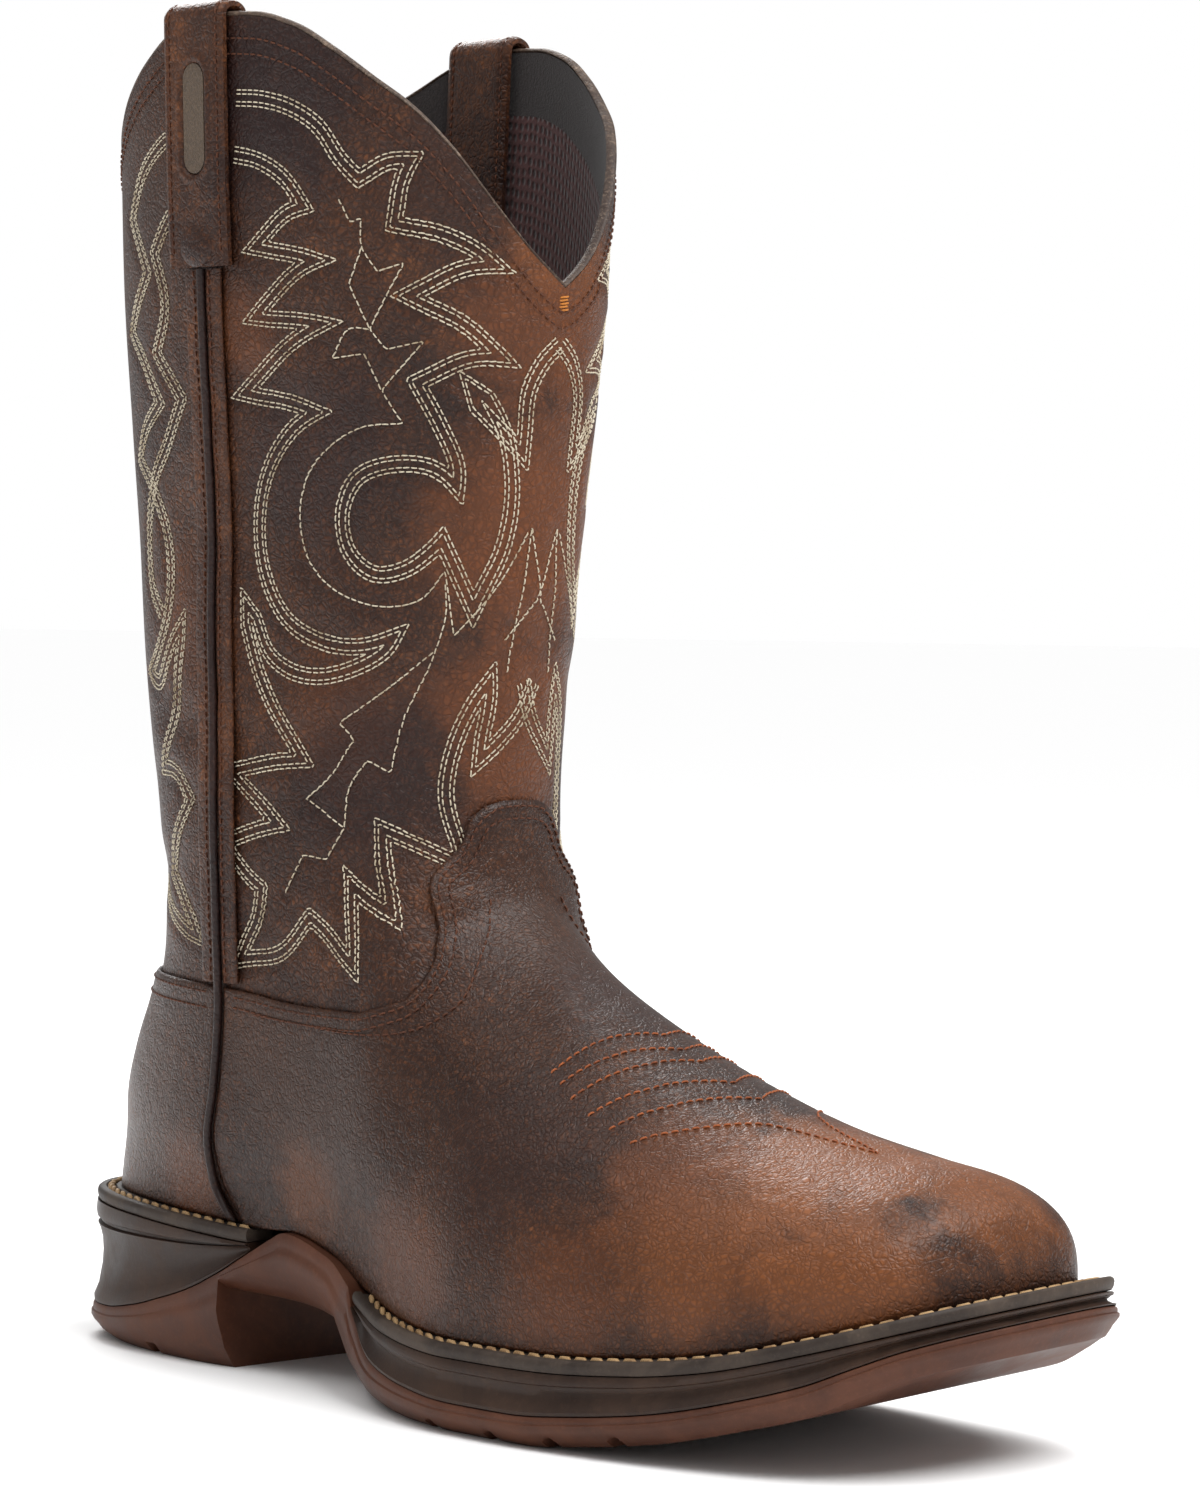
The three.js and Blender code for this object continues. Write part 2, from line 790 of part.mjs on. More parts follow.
// The seam line from the floor up to a height, moved forwards or backwards
function seamLine(top, shift) {
  const heights = [0, ...seamHeights.filter((z) => z < top), top];
  return heights.map((z) => [seamX(z) + shift, z]);
}

function edgeLine(from, to, drop) {
  const inside = sideEdge.map((row) => row.x * soleLength).filter((x) => x > from && x < to);
  return [from, ...inside, to].map((x) => [x, sideEdgeZ(x) - drop]);
}

const seamTop = sideEdgeZ(sideX);

function vampGeometry() {
  const rear = seamLine(seamTop, seamGap);
  const start = rear[rear.length - 1][0];
  const side = prism([[reach, 0], [reach, sideEdgeZ(sideEdgeEnd)],
    ...edgeLine(start, sideEdgeEnd, 0).reverse(), ...rear.slice(0, -1).reverse()],
  'y', -reach, reach);
  const half = tongueEdge.map((row) => [row.y * shaftWidth, row.z * instepHeight]);
  const front = prism([...half, ...half.map(([y, z]) => [-y, z]).reverse(),
    [-half[0][0], 0], [half[0][0], 0]], 'x', sideEdgeEnd - 2, reach * 2);
  return toGeometry(skin.intersect(side.add(front)));
}

function counterGeometry() {
  const fore = seamLine(seamTop, -seamGap);
  const end = fore[fore.length - 1][0];
  const region = prism([[-reach, 0], ...fore.slice(0, -1), ...edgeLine(-reach, end, 0).reverse()],
    'y', -reach, reach);
  return toGeometry(skin.intersect(region));
}

// Surface place at a side, x and height, found on the smooth form
function sidePoint(side, x, z, offset) {
  const half = halfWidth(x, z, side) + offset;
  return new THREE.Vector3(x, sides[side] * half, z);
}

// One raised strip beside the seam, from the vamp's edge to the strap
function stripGeometry(side, way) {
  const bottom = sideEdgeZ(sideX - shaftWidth * 0.15) + fit;
  const heights = [bottom, ...seamHeights.filter((z) => z > bottom + 2 && z < strapBottom - 4),
    strapBottom - fit];
  const near = way * seamGap;
  const far = way * (seamGap + stripWidth);
  return sweep(heights.map((z) => {
    const corner = (shift, offset) => sidePoint(side, seamX(z) + shift, z, offset);
    const section = [corner(near, fit), corner(far, fit),
      corner(far, fit + overlay), corner(near, fit + overlay)];
    return way * sides[side] > 0 ? section : section.reverse();
  }), false);
}

// Piping between the seam's edges, from the welt to the strap
function pipingGeometry(side) {
  const foot = seat(seamX(seat(sideX))) + fit * 2 + pipingRadius;
  const heights = [foot, ...seamHeights.filter((z) => z > foot + 2 && z < strapBottom - 4),
    strapBottom - fit];
  const offset = fit * 2 + pipingRadius;
  const path = heights.map((z) => sidePoint(side, seamX(z), z, offset));
  const sections = path.map((point, i) => {
    const along = path[Math.min(i + 1, path.length - 1)].clone()
      .sub(path[Math.max(i - 1, 0)]).normalize();
    const out = new THREE.Vector3(0, sides[side], 0);
    const across = along.clone().cross(out).normalize();
    const outwards = across.clone().cross(along).normalize();
    return Array.from({ length: 6 }, (_, k) => {
      const turn = (k * Math.PI) / 3;
      return point.clone().addScaledVector(across, pipingRadius * Math.cos(turn))
        .addScaledVector(outwards, pipingRadius * Math.sin(turn));
    });
  });
  return sweep(sections.map((section) => section.reverse()), false);
}

// Insole, collar binding and pull straps

function insoleGeometry() {
  const inset = (x) => ledge(x) + wall + insoleFit;
  return stack([0, insoleThickness].map((height) => (
    soleRow(upperColumns, inset, (x) => seat(x) + fit + height))));
}

function bindingGeometry() {
  const outer = formRows(0);
  const inner = formRows(-wall);
  const top = outer.length - 1;
  const outside = ringOf(outer[top]);
  const inside = ringOf(inner[top]);
  const raised = (point, height) => point.clone().setZ(point.z + height);
  const sections = outside.map((point, i) => [
    raised(point, fit),
    raised(point, fit + bindingHeight * 0.6),
    raised(point.clone().lerp(inside[i], 0.5), fit + bindingHeight),
    raised(inside[i], fit + bindingHeight * 0.6),
    raised(inside[i], fit),
  ]);
  const kept = sections.filter((_, i) => i !== sections.length - 1 && i !== upperColumns.length);
  return sweep(kept.reverse(), true);
}

const strapSpan = [strapX - strapWidth / 2, strapX + strapWidth / 2];
const widestHalf = (z) => shaftHalf(sideX, z);
const narrowHalf = (z) => Math.min(...strapSpan.map((x) => shaftHalf(x, z)));
const outerFace = (z) => widestHalf(z) + fit + strapThickness;

// The strap's side view across the collar: outer leg, crest and inner leg
function strapOutline() {
  const crest = shaftHeight + fit + bindingHeight + strapHeadroom;
  const shoulder = shaftHeight + fit;
  const outsideZ = [strapBottom, shaftHeight - strapDrop * 0.68, shaftHeight - strapDrop * 0.14];
  const insideZ = [shoulder - 4, shaftHeight - strapInside * 0.5, shaftHeight - strapInside];
  const outLeg = (extra) => outsideZ.map((z) => [widestHalf(z) + fit + extra, z]);
  const inLeg = (extra) => insideZ.map((z) => [narrowHalf(z) - wall - 2 * fit - extra, z]);
  const centre = (widestHalf(shaftHeight) + fit + narrowHalf(shaftHeight) - wall - 2 * fit) / 2;
  const half = widestHalf(shaftHeight) + fit - centre;
  const arc = (grow) => Array.from({ length: 7 }, (_, k) => {
    const turn = (k * Math.PI) / 6;
    return [centre + (half + grow) * Math.cos(turn),
      shoulder + (crest - shoulder + grow) * Math.sin(turn)];
  });
  return [...outLeg(strapThickness), ...arc(strapThickness), ...inLeg(strapThickness),
    ...inLeg(0).reverse(), ...arc(0).reverse(), ...outLeg(0).reverse()];
}

// A flat capsule on the strap's outer face, between two depths under it
function capsule(side, width, length, from, to) {
  const centreZ = shaftHeight - patchDrop;
  const shape = new THREE.Shape();
  const straight = (length - width) / 2;
  shape.absarc(0, straight, width / 2, 0, Math.PI);
  shape.absarc(0, -straight, width / 2, Math.PI, 2 * Math.PI);
  const geometry = new THREE.ExtrudeGeometry(shape,
    { depth: to - from, bevelEnabled: false, curveSegments: 8 });
  const [low, high] = [shaftHeight - strapDrop * 0.68, shaftHeight - strapDrop * 0.14];
  const up = new THREE.Vector3(0, sides[side] * (outerFace(high) - outerFace(low)), high - low);
  up.normalize();
  const across = new THREE.Vector3(1, 0, 0);
  const inwards = across.clone().cross(up);
  const out = inwards.y * sides[side] > 0 ? -1 : 1;
  const face = mix(outerFace(low), outerFace(high), (centreZ - low) / (high - low));
  geometry.applyMatrix4(new THREE.Matrix4().makeBasis(across, up, inwards));
  const depth = out > 0 ? from : -to;
  geometry.translate(strapX, sides[side] * face, centreZ);
  geometry.translate(...inwards.clone().multiplyScalar(depth).toArray());
  return geometry;
}

function strapGeometry(side) {
  const outline = strapOutline().map(([y, z]) => [sides[side] * y, z]);
  let strap = prism(side === 'medial' ? outline : outline.reverse(), 'x', ...strapSpan);
  const notch = new THREE.CylinderGeometry(seamGap + fit, seamGap + fit, shaftWidth, 12);
  const crown = outerFace(strapBottom);
  notch.scale(1, strapThickness * 6 / shaftWidth, 2);
  notch.translate(strapX, sides[side] * crown, strapBottom);
  strap = strap.subtract(toManifold(notch));
  const pocket = capsule(side, patchWidth, patchLength, -patchPocket, patchPocket);
  return toGeometry(strap.subtract(toManifold(pocket)));
}

function patchGeometry(side) {
  const inset = patchPocket - fit - patchThickness;
  return toGeometry(toManifold(capsule(side, patchWidth - 2 * fit, patchLength - 2 * fit,
    inset, inset + patchThickness)));
}

// Materials

function finish(color, roughness) {
  return new THREE.MeshStandardMaterial({ color, roughness, metalness: 0 });
}

const leather = finish('#5b3524', 0.5);
const vampLeather = finish('#533222', 0.45);
const wrapRubber = finish('#3d332e', 0.6);
const outsoleRubber = finish('#4e3228', 0.6);
const weltRubber = finish('#4b433d', 0.6);
const insoleFoam = finish('#6f5f50', 0.9);
const pipingLeather = finish('#2b1d19', 0.45);
const patchSuede = finish('#7a6148', 0.9);

const group = new THREE.Group();

function add(name, geometry, material) {
  const mesh = new THREE.Mesh(geometry, material);
  mesh.name = name;
  group.add(mesh);
}

const heelEnd = soleLength * 0.2801;
const foreStart = soleLength * 0.4319;
const heelStations = soleColumns.filter((u) => u <= stationOf(heelEnd));
const foreStations = soleColumns.filter((u) => u >= stationOf(foreStart));

add('outsole', outsoleGeometry(), outsoleRubber);
add('heel_wrap', midLayer(heelStations, 1.4), wrapRubber);
add('midsole_forefoot', midLayer(foreStations, 1.2), wrapRubber);
add('welt_heel', weltGeometry(heelStations, 'heel'), weltRubber);
add('welt_forefoot', weltGeometry(foreStations, 'toe'), weltRubber);
add('insole', insoleGeometry(), insoleFoam);
add('upper', upperGeometry(), leather);
add('vamp', vampGeometry(), vampLeather);
add('counter', counterGeometry(), vampLeather);
add('collar_binding', bindingGeometry(), leather);
for (const side of Object.keys(sides)) {
  add(`seam_strip_front_${side}`, stripGeometry(side, 1), leather);
  add(`seam_strip_rear_${side}`, stripGeometry(side, -1), leather);
  add(`piping_${side}`, pipingGeometry(side), pipingLeather);
  add(`pull_strap_${side}`, strapGeometry(side), leather);
  add(`strap_patch_${side}`, patchGeometry(side), patchSuede);
}

// Origin on the floor, under the middle of the boot's box
const box = new THREE.Box3().setFromObject(group);
const middle = box.getCenter(new THREE.Vector3());
group.position.set(-middle.x, -middle.y, -box.min.z);

export default group;
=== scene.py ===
"""Dresses the right-hand western work boot: leather, stitching, rubber, light and camera."""

import logging
import math
from dataclasses import dataclass
from enum import Enum
from typing import Callable, Iterable, Sequence

import bmesh
import bpy
import numpy as np
from mathutils import Matrix, Vector, kdtree
from mathutils.bvhtree import BVHTree


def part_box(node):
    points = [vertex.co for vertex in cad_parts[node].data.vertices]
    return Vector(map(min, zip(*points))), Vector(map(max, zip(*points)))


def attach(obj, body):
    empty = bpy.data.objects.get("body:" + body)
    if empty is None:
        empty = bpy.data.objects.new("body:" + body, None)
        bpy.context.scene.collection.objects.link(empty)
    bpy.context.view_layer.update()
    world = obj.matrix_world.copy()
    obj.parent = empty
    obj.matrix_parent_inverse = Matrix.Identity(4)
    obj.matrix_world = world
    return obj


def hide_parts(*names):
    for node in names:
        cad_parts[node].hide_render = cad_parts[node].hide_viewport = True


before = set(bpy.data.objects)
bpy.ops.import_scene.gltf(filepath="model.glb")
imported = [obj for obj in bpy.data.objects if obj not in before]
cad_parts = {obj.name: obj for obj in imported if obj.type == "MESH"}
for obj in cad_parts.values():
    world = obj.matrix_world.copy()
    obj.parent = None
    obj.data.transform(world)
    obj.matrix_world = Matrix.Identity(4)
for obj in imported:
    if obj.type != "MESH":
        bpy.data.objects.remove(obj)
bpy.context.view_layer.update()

MM = 0.001
LOG = logging.getLogger("boot")

Row = tuple[float, ...]
Colour = tuple[float, float, float]
Height = Callable[[np.ndarray, np.ndarray], np.ndarray]


class Side(Enum):
    """The two sides of the boot, by the sign of Y."""

    LATERAL = -1
    MEDIAL = 1

    @property
    def label(self) -> str:
        """The side's name in node names."""
        return self.name.lower()


def ease(t: np.ndarray | float) -> np.ndarray:
    """Smooth step from 0 to 1."""
    t = np.clip(t, 0.0, 1.0)
    return t * t * (3 - 2 * t)


def mix(a: np.ndarray | float, b: np.ndarray | float, t: np.ndarray | float) -> np.ndarray:
    """Value between a and b at share t."""
    return a + (b - a) * t


class Track:
    """A smooth value between the rows of a short table, never past the rows' own range."""

    def __init__(self, rows: Sequence[Row], column: int = 1) -> None:
        """Reads one column of a table.

        Args:
            rows: Rows whose first value is the place along the boot.
            column: Which value of the row to follow.
        """
        self.xs = np.array([row[0] for row in rows], float)
        self.ys = np.array([row[column] for row in rows], float)
        steps = np.diff(self.ys) / np.diff(self.xs)
        before = np.concatenate([steps[:1], steps])
        after = np.concatenate([steps, steps[-1:]])
        same = before * after > 0
        total = np.where(same, before + after, 1.0)
        self.slopes = np.where(same, 2 * before * after / total, 0.0)

    def __call__(self, x: np.ndarray | float) -> np.ndarray:
        """The value at x."""
        x = np.clip(np.asarray(x, float), self.xs[0], self.xs[-1])
        i = np.clip(np.searchsorted(self.xs, x, side="right") - 1, 0, len(self.xs) - 2)
        h = self.xs[i + 1] - self.xs[i]
        t = (x - self.xs[i]) / h
        start = h * self.slopes[i] * t * (1 - t)
        end = -h * self.slopes[i + 1] * t * (1 - t)
        blend = t * t * (3 - 2 * t)
        return self.ys[i] * (1 - blend) + self.ys[i + 1] * blend + start * (1 - t) + end * t


def smooth_line(points: np.ndarray, count: int) -> np.ndarray:
    """An evenly spaced smooth curve through points.

    Args:
        points: The points to pass, in any number of dimensions.
        count: How many points to return.

    Returns:
        The spaced points of a centripetal curve.
    """
    p = np.asarray(points, float)
    if len(p) < 3:
        return resample(p, count)
    ends = np.vstack([2 * p[0] - p[1], p, 2 * p[-1] - p[-2]])
    out = []
    t = np.linspace(0, 1, 25)[:, None]
    for i in range(1, len(ends) - 2):
        a, b, c, d = ends[i - 1 : i + 3]
        gaps = [max(np.linalg.norm(q - r) ** 0.5, 1e-6) for q, r in ((b, a), (c, b), (d, c))]
        m1 = ((b - a) / gaps[0] - (c - a) / (gaps[0] + gaps[1]) + (c - b) / gaps[1]) * gaps[1]
        m2 = ((c - b) / gaps[1] - (d - b) / (gaps[1] + gaps[2]) + (d - c) / gaps[2]) * gaps[1]
        out.append(b + m1 * t + (3 * (c - b) - 2 * m1 - m2) * t**2 + (m1 + m2 - 2 * (c - b)) * t**3)
    return resample(np.vstack(out), count)


def resample(points: np.ndarray, count: int) -> np.ndarray:
    """Evenly spaced points along a polyline."""
    p = np.asarray(points, float)
    length = arc_lengths(p)
    at = np.linspace(0, length[-1], count)
    return np.stack([np.interp(at, length, p[:, k]) for k in range(p.shape[1])], axis=1)


def arc_lengths(row: np.ndarray) -> np.ndarray:
    """Distance along a polyline at each of its points."""
    return np.concatenate([[0], np.cumsum(np.linalg.norm(np.diff(row, axis=0), axis=1))])


def even_out(line: np.ndarray, times: int) -> None:
    """Smooths a row of values in place, all but its ends."""
    for _ in range(times):
        line[1:-1] = (line[:-2] + line[1:-1] * 2 + line[2:]) / 4


def turns(count: int) -> np.ndarray:
    """Evenly spaced angles once round."""
    return np.linspace(0, 2 * math.pi, count, endpoint=False)


@dataclass
class Last:
    """The boot's form: plan, seat, silhouettes and sections, in millimetres."""

    sole_length: float = 311
    ball_width: float = 110
    heel_height: float = 36
    forefoot_height: float = 21.2
    toe_spring: float = 27
    arch_height: float = 20
    breast_x: float = 78.3
    shaft_height: float = 340.5
    shaft_width: float = 101
    shaft_front: float = 157.2
    instep_height: float = 150
    side_x: float = 80
    wall: float = 2.4
    fit: float = 0.3
    overlay: float = 1.3
    welt_thickness: float = 3.2
    welt_strip: float = 9.5
    strap_x: float = 76
    heel_round: float = 2.7
    toe_round: float = 3
    shaft_round: float = 2.15
    toe_swing: float = 6
    toe_skew: float = 0.07
    forefoot_tilt: float = 0.045

    plan = ((0.00, 0.355, 0.355, 0.072), (0.12, 0.360, 0.360, 0.062), (0.25, 0.360, 0.360, 0.052),
            (0.32, 0.345, 0.330, 0.028), (0.38, 0.355, 0.312, 0.030), (0.43, 0.402, 0.312, 0.045),
            (0.49, 0.476, 0.352, 0.055), (0.54, 0.522, 0.392, 0.055), (0.59, 0.545, 0.427, 0.055),
            (0.65, 0.547, 0.454, 0.055), (0.71, 0.535, 0.460, 0.055), (0.78, 0.508, 0.450, 0.060),
            (0.85, 0.470, 0.425, 0.068), (0.92, 0.432, 0.403, 0.078), (1.00, 0.402, 0.383, 0.082))
    seat_rows = ((0.00, 1.27, 0.00), (0.11, 1.20, 0.00), (0.21, 1.09, 0.00), (0.29, 1.03, 0.00),
                 (0.324, 1.06, 0.00), (0.38, 0.80, 0.00), (0.43, 0.38, 0.00), (0.50, 0.10, 0.00),
                 (0.59, 0.00, 0.00), (0.68, 0.00, 0.01), (0.77, 0.00, 0.08), (0.832, 0.0, 0.178),
                 (0.911, 0.00, 0.40), (0.966, 0.00, 0.585), (1.01, 0.00, 0.74))
    spring_rows = ((0.00, 0.00), (0.665, 0.00), (0.725, 0.07), (0.79, 0.18), (0.86, 0.37),
                   (0.91, 0.53), (0.945, 0.73), (0.97, 0.87), (1.01, 1.00))
    sideline_rows = ((0.00, 0.22), (0.08, 0.245), (0.13, 0.31), (0.17, 0.40), (0.21, 0.51),
                     (0.25, 0.67), (0.28, 0.82), (0.308, 0.95), (0.324, 1.00), (0.424, 1.00),
                     (0.431, 0.84), (0.444, 0.72), (0.458, 0.58), (0.483, 0.48), (0.54, 0.40),
                     (0.61, 0.35), (0.75, 0.365), (0.88, 0.395), (0.95, 0.43), (1.01, 0.51))
    arch_rows = ((0.25, 1.00), (0.33, 0.92), (0.37, 0.80), (0.390, 0.60), (0.400, 0.28),
                 (0.418, 0.08), (0.448, 0.00))
    tuck_rows = ((0.00, 0.045), (0.20, 0.036), (0.31, 0.062), (0.41, 0.062), (0.51, 0.042),
                 (0.80, 0.030), (1.00, 0.012))
    front_rows = ((0.967, 0.318), (0.955, 0.372), (0.924, 0.412), (0.863, 0.437), (0.780, 0.477),
                  (0.690, 0.546), (0.596, 0.634), (0.520, 0.722), (0.464, 0.840), (0.460, 0.985),
                  (0.477, 1.240), (0.494, 1.540))
    back_rows = ((0.0275, 0.155), (0.0290, 0.195), (0.0450, 0.234), (0.0670, 0.270),
                 (0.0820, 0.306), (0.0860, 0.345), (0.0830, 0.390), (0.0720, 0.432),
                 (0.0500, 0.510), (0.0368, 0.600), (0.0278, 0.700), (0.0230, 0.800))
    girth_rows = ((0.00, 0.345), (0.12, 0.350), (0.18, 0.376), (0.26, 0.383), (0.35, 0.400),
                  (0.43, 0.412), (0.52, 0.404), (0.60, 0.404), (0.70, 0.428), (0.80, 0.464),
                  (0.88, 0.484), (1.00, 0.500))
    collar_rows = ((0.00, 0.875), (0.12, 0.893), (0.23, 0.925), (0.30, 0.952), (0.364, 0.974),
                   (0.43, 0.993), (0.50, 1.000), (0.558, 0.998), (0.613, 0.988), (0.665, 0.969),
                   (0.717, 0.947), (0.768, 0.926), (0.823, 0.896), (0.882, 0.858), (0.940, 0.826),
                   (1.00, 0.802))
    dome_rows = ((0.25, 2.1, 0.045), (0.32, 2.1, 0.044), (0.38, 2.1, 0.050), (0.43, 2.0, 0.042),
                 (0.49, 2.0, 0.020), (0.55, 2.0, 0.012), (0.70, 2.1, 0.012), (0.85, 2.5, 0.012),
                 (1.00, 3.0, 0.010))
    side_edge = ((-0.10, 0.664), (0.10, 0.660), (0.25, 0.650), (0.34, 0.630), (0.42, 0.628))
    tongue_edge = ((0.392, 0.630), (0.354, 0.652), (0.320, 0.680), (0.282, 0.720),
                   (0.254, 0.767), (0.252, 0.800), (0.256, 0.823), (0.245, 0.848),
                   (0.215, 0.870), (0.180, 0.888), (0.160, 0.908), (0.150, 0.930),
                   (0.135, 0.950), (0.100, 0.968), (0.055, 0.977), (0.0, 0.979))
    seam_rows = ((0.090, 0.040), (0.104, 0.020), (0.117, -0.030), (0.139, -0.078),
                 (0.165, -0.086), (0.215, -0.055), (0.285, -0.034), (0.420, -0.033),
                 (0.570, -0.060), (0.714, -0.055), (0.820, -0.040))

    def __post_init__(self) -> None:
        """Works out the curves that the sections are read from."""
        self.half_plan = {Side.LATERAL: Track(self.plan, 1), Side.MEDIAL: Track(self.plan, 2)}
        self.ledge_share = Track(self.plan, 3)
        self.lift, self.spring = Track(self.seat_rows, 1), Track(self.seat_rows, 2)
        self.ground, self.rise = Track(self.spring_rows), Track(self.sideline_rows)
        self.arch, self.tuck = Track(self.arch_rows), Track(self.tuck_rows)
        self.girth, self.collar = Track(self.girth_rows), Track(self.collar_rows)
        self.fullness, self.flare = Track(self.dome_rows, 1), Track(self.dome_rows, 2)
        self.seam_shift = Track(self.seam_rows)
        self.heel_cap, self.toe_cap = self.sole_length * 0.25, self.sole_length * 0.85
        toe = self.sole_length - float(self.ledge(self.sole_length))
        heel = float(self.ledge(0))
        front = [(toe, float(self.seat(toe)) + self.fit)]
        front += [(x * self.sole_length, z * self.instep_height) for x, z in self.front_rows]
        front += [(self.shaft_front, self.shaft_height * self.collar_rows[-1][1])]
        back = [(heel, float(self.seat(heel)) + self.fit)]
        back += [(x * self.sole_length, z * self.shaft_height) for x, z in self.back_rows]
        back += [(self.back_rows[-1][0] * self.sole_length,
                  self.shaft_height * self.collar_rows[0][1])]
        self.front = smooth_line(np.array(front), 600)
        self.back = smooth_line(np.array(back), 400)
        low = int(np.argmin(self.front[:, 0]))
        self.ridge = self.front[: low + 1][::-1]
        dense = np.linspace(0, 3, 241)
        self.feather_lines = {side: self.feather(dense, side) for side in Side}
        strap = [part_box(f"pull_strap_{side.label}") for side in Side]
        self.shift = np.array([
            (strap[0][0][0] + strap[0][1][0]) / 2 / MM - self.strap_x,
            (strap[0][0][1] + strap[1][1][1]) / 2 / MM, 0.0])

    def place(self, points: np.ndarray) -> np.ndarray:
        """Points of the form, in millimetres, as points of the row's frame, in metres."""
        return (np.asarray(points, float) + self.shift) * MM

    def ledge(self, x: np.ndarray | float) -> np.ndarray:
        """Width of the welt's ledge at x."""
        return self.ball_width * self.ledge_share(np.asarray(x) / self.sole_length)

    def seat(self, x: np.ndarray | float) -> np.ndarray:
        """Height of the welt's top at x."""
        at = np.asarray(x, float) / self.sole_length
        lifted = (self.heel_height - self.forefoot_height) * self.lift(at)
        return self.forefoot_height + lifted + self.toe_spring * self.spring(at)

    def floor_side(self, x: np.ndarray | float) -> np.ndarray:
        """Height of the outsole's underside at x, without the arch."""
        return self.toe_spring * self.ground(np.asarray(x) / self.sole_length)

    def sideline(self, x: np.ndarray | float) -> np.ndarray:
        """Height of the line between the outsole and the layer on it."""
        return mix(self.floor_side(x), self.seat(x), self.rise(np.asarray(x) / self.sole_length))

    def underside(self, x: np.ndarray, station: np.ndarray) -> np.ndarray:
        """Height of the outsole's underside, with the heel breast and the arch."""
        arched = self.arch_height * self.arch(station / self.sole_length)
        return np.where(station < self.breast_x, 0.0, np.maximum(arched, self.floor_side(x)))

    def plan_point(self, u: np.ndarray, side: Side) -> np.ndarray:
        """The welt's outline at u: 0 heel, 1 to 2 along the side, 3 toe."""
        u = np.asarray(u, float)
        x = mix(self.heel_cap, self.toe_cap, u - 1)
        shrink = np.ones_like(u)
        turn = np.clip(u, 0, 1) * math.pi / 2
        heel = u < 1
        x = np.where(heel, self.heel_cap * (1 - np.cos(turn) ** (2 / self.heel_round)), x)
        shrink = np.where(heel, np.sin(turn) ** (2 / self.heel_round), shrink)
        turn = np.clip(u - 2, 0, 1) * math.pi / 2
        toe = u > 2
        reach = self.sole_length - self.toe_cap
        x = np.where(toe, self.toe_cap + reach * np.sin(turn) ** (2 / self.toe_round), x)
        shrink = np.where(toe, np.maximum(np.cos(turn), 0) ** (2 / self.toe_round), shrink)
        half = self.half_plan[side](x / self.sole_length) * self.ball_width * shrink
        return np.stack([x, side.value * half], axis=-1)

    def inset_point(self, u: np.ndarray, side: Side, inset: np.ndarray | float) -> np.ndarray:
        """The welt's outline moved inwards, square to itself."""
        u = np.asarray(u, float)
        point = self.plan_point(u, side)
        along = (self.plan_point(np.minimum(u + 0.004, 3), side)
                 - self.plan_point(np.maximum(u - 0.004, 0), side))
        along /= np.linalg.norm(along, axis=-1, keepdims=True)
        inwards = np.stack([along[..., 1], -along[..., 0]], axis=-1) * side.value
        inwards = np.where((u <= 0)[..., None], np.array([1.0, 0.0]), inwards)
        inwards = np.where((u >= 3)[..., None], np.array([-1.0, 0.0]), inwards)
        return point + inwards * np.broadcast_to(inset, u.shape)[..., None]

    def feather(self, u: np.ndarray, side: Side) -> np.ndarray:
        """Lower edge of the upper in plan."""
        return self.inset_point(u, side, self.ledge(self.plan_point(u, side)[..., 0]))

    def station(self, x: float) -> float:
        """The u of a place along the sole."""
        if x > self.heel_cap:
            return 1 + (x - self.heel_cap) / (self.toe_cap - self.heel_cap)
        return math.acos((1 - x / self.heel_cap) ** (self.heel_round / 2)) * 2 / math.pi

    def bend(self, point: np.ndarray) -> np.ndarray:
        """Turns the toe to the inner side and sets its front edge aslant."""
        out = np.array(point, float)
        reach = np.maximum((out[..., 0] - self.sole_length * 0.55) / (self.sole_length * 0.45), 0)
        toe = ease((out[..., 0] - self.sole_length * 0.8) / (self.sole_length * 0.17))
        out[..., 1] += self.toe_swing * reach * reach
        out[..., 0] += self.toe_skew * toe * out[..., 1]
        return out

    def twist(self, x: np.ndarray, y: np.ndarray) -> np.ndarray:
        """How much higher the forefoot lies towards its inner side."""
        reach = ease((x - self.sole_length * 0.6) / (self.sole_length * 0.28))
        return self.forefoot_tilt * reach * (y + self.ball_width * 0.41)

    def shaft_half(self, x: np.ndarray, z: np.ndarray) -> np.ndarray:
        """Half width of the shaft at x and height z."""
        half = self.shaft_width * self.girth(z / self.shaft_height)
        back = np.interp(z, self.back[:, 1], self.back[:, 0])
        front = np.interp(z, self.front[:, 1], self.front[:, 0])
        reach = np.where(x < self.side_x, (self.side_x - x) / (self.side_x - back),
                         (x - self.side_x) / (front - self.side_x))
        power = self.shaft_round
        return half * np.maximum(1 - np.maximum(reach, 0) ** power, 0) ** (1 / power)

    def half_width(self, x: np.ndarray, z: np.ndarray, side: Side) -> np.ndarray:
        """Half width of the upper at x and height z."""
        line = self.feather_lines[side]
        feather = np.abs(np.interp(x, line[:, 0], line[:, 1]))
        seat = self.seat(x)
        narrow = self.ridge[0, 0]
        top = np.where(x > narrow, np.interp(x, self.ridge[:, 0], self.ridge[:, 1]),
                       self.instep_height + (narrow - x) * 12)
        share = np.clip((z - seat) / (top - seat), 0, 1)
        at = x / self.sole_length
        belly = self.ball_width * self.flare(at) * ease((z - seat) / (self.forefoot_height * 1.5))
        foot = (feather + belly) * np.sqrt(np.maximum(1 - share ** self.fullness(at), 0))
        along = ease((x - self.side_x) / (self.sole_length * 0.24))
        low = 1 - ease((z - self.instep_height * 0.62) / (self.instep_height * 0.4))
        return mix(self.shaft_half(x, z), foot, along * low)

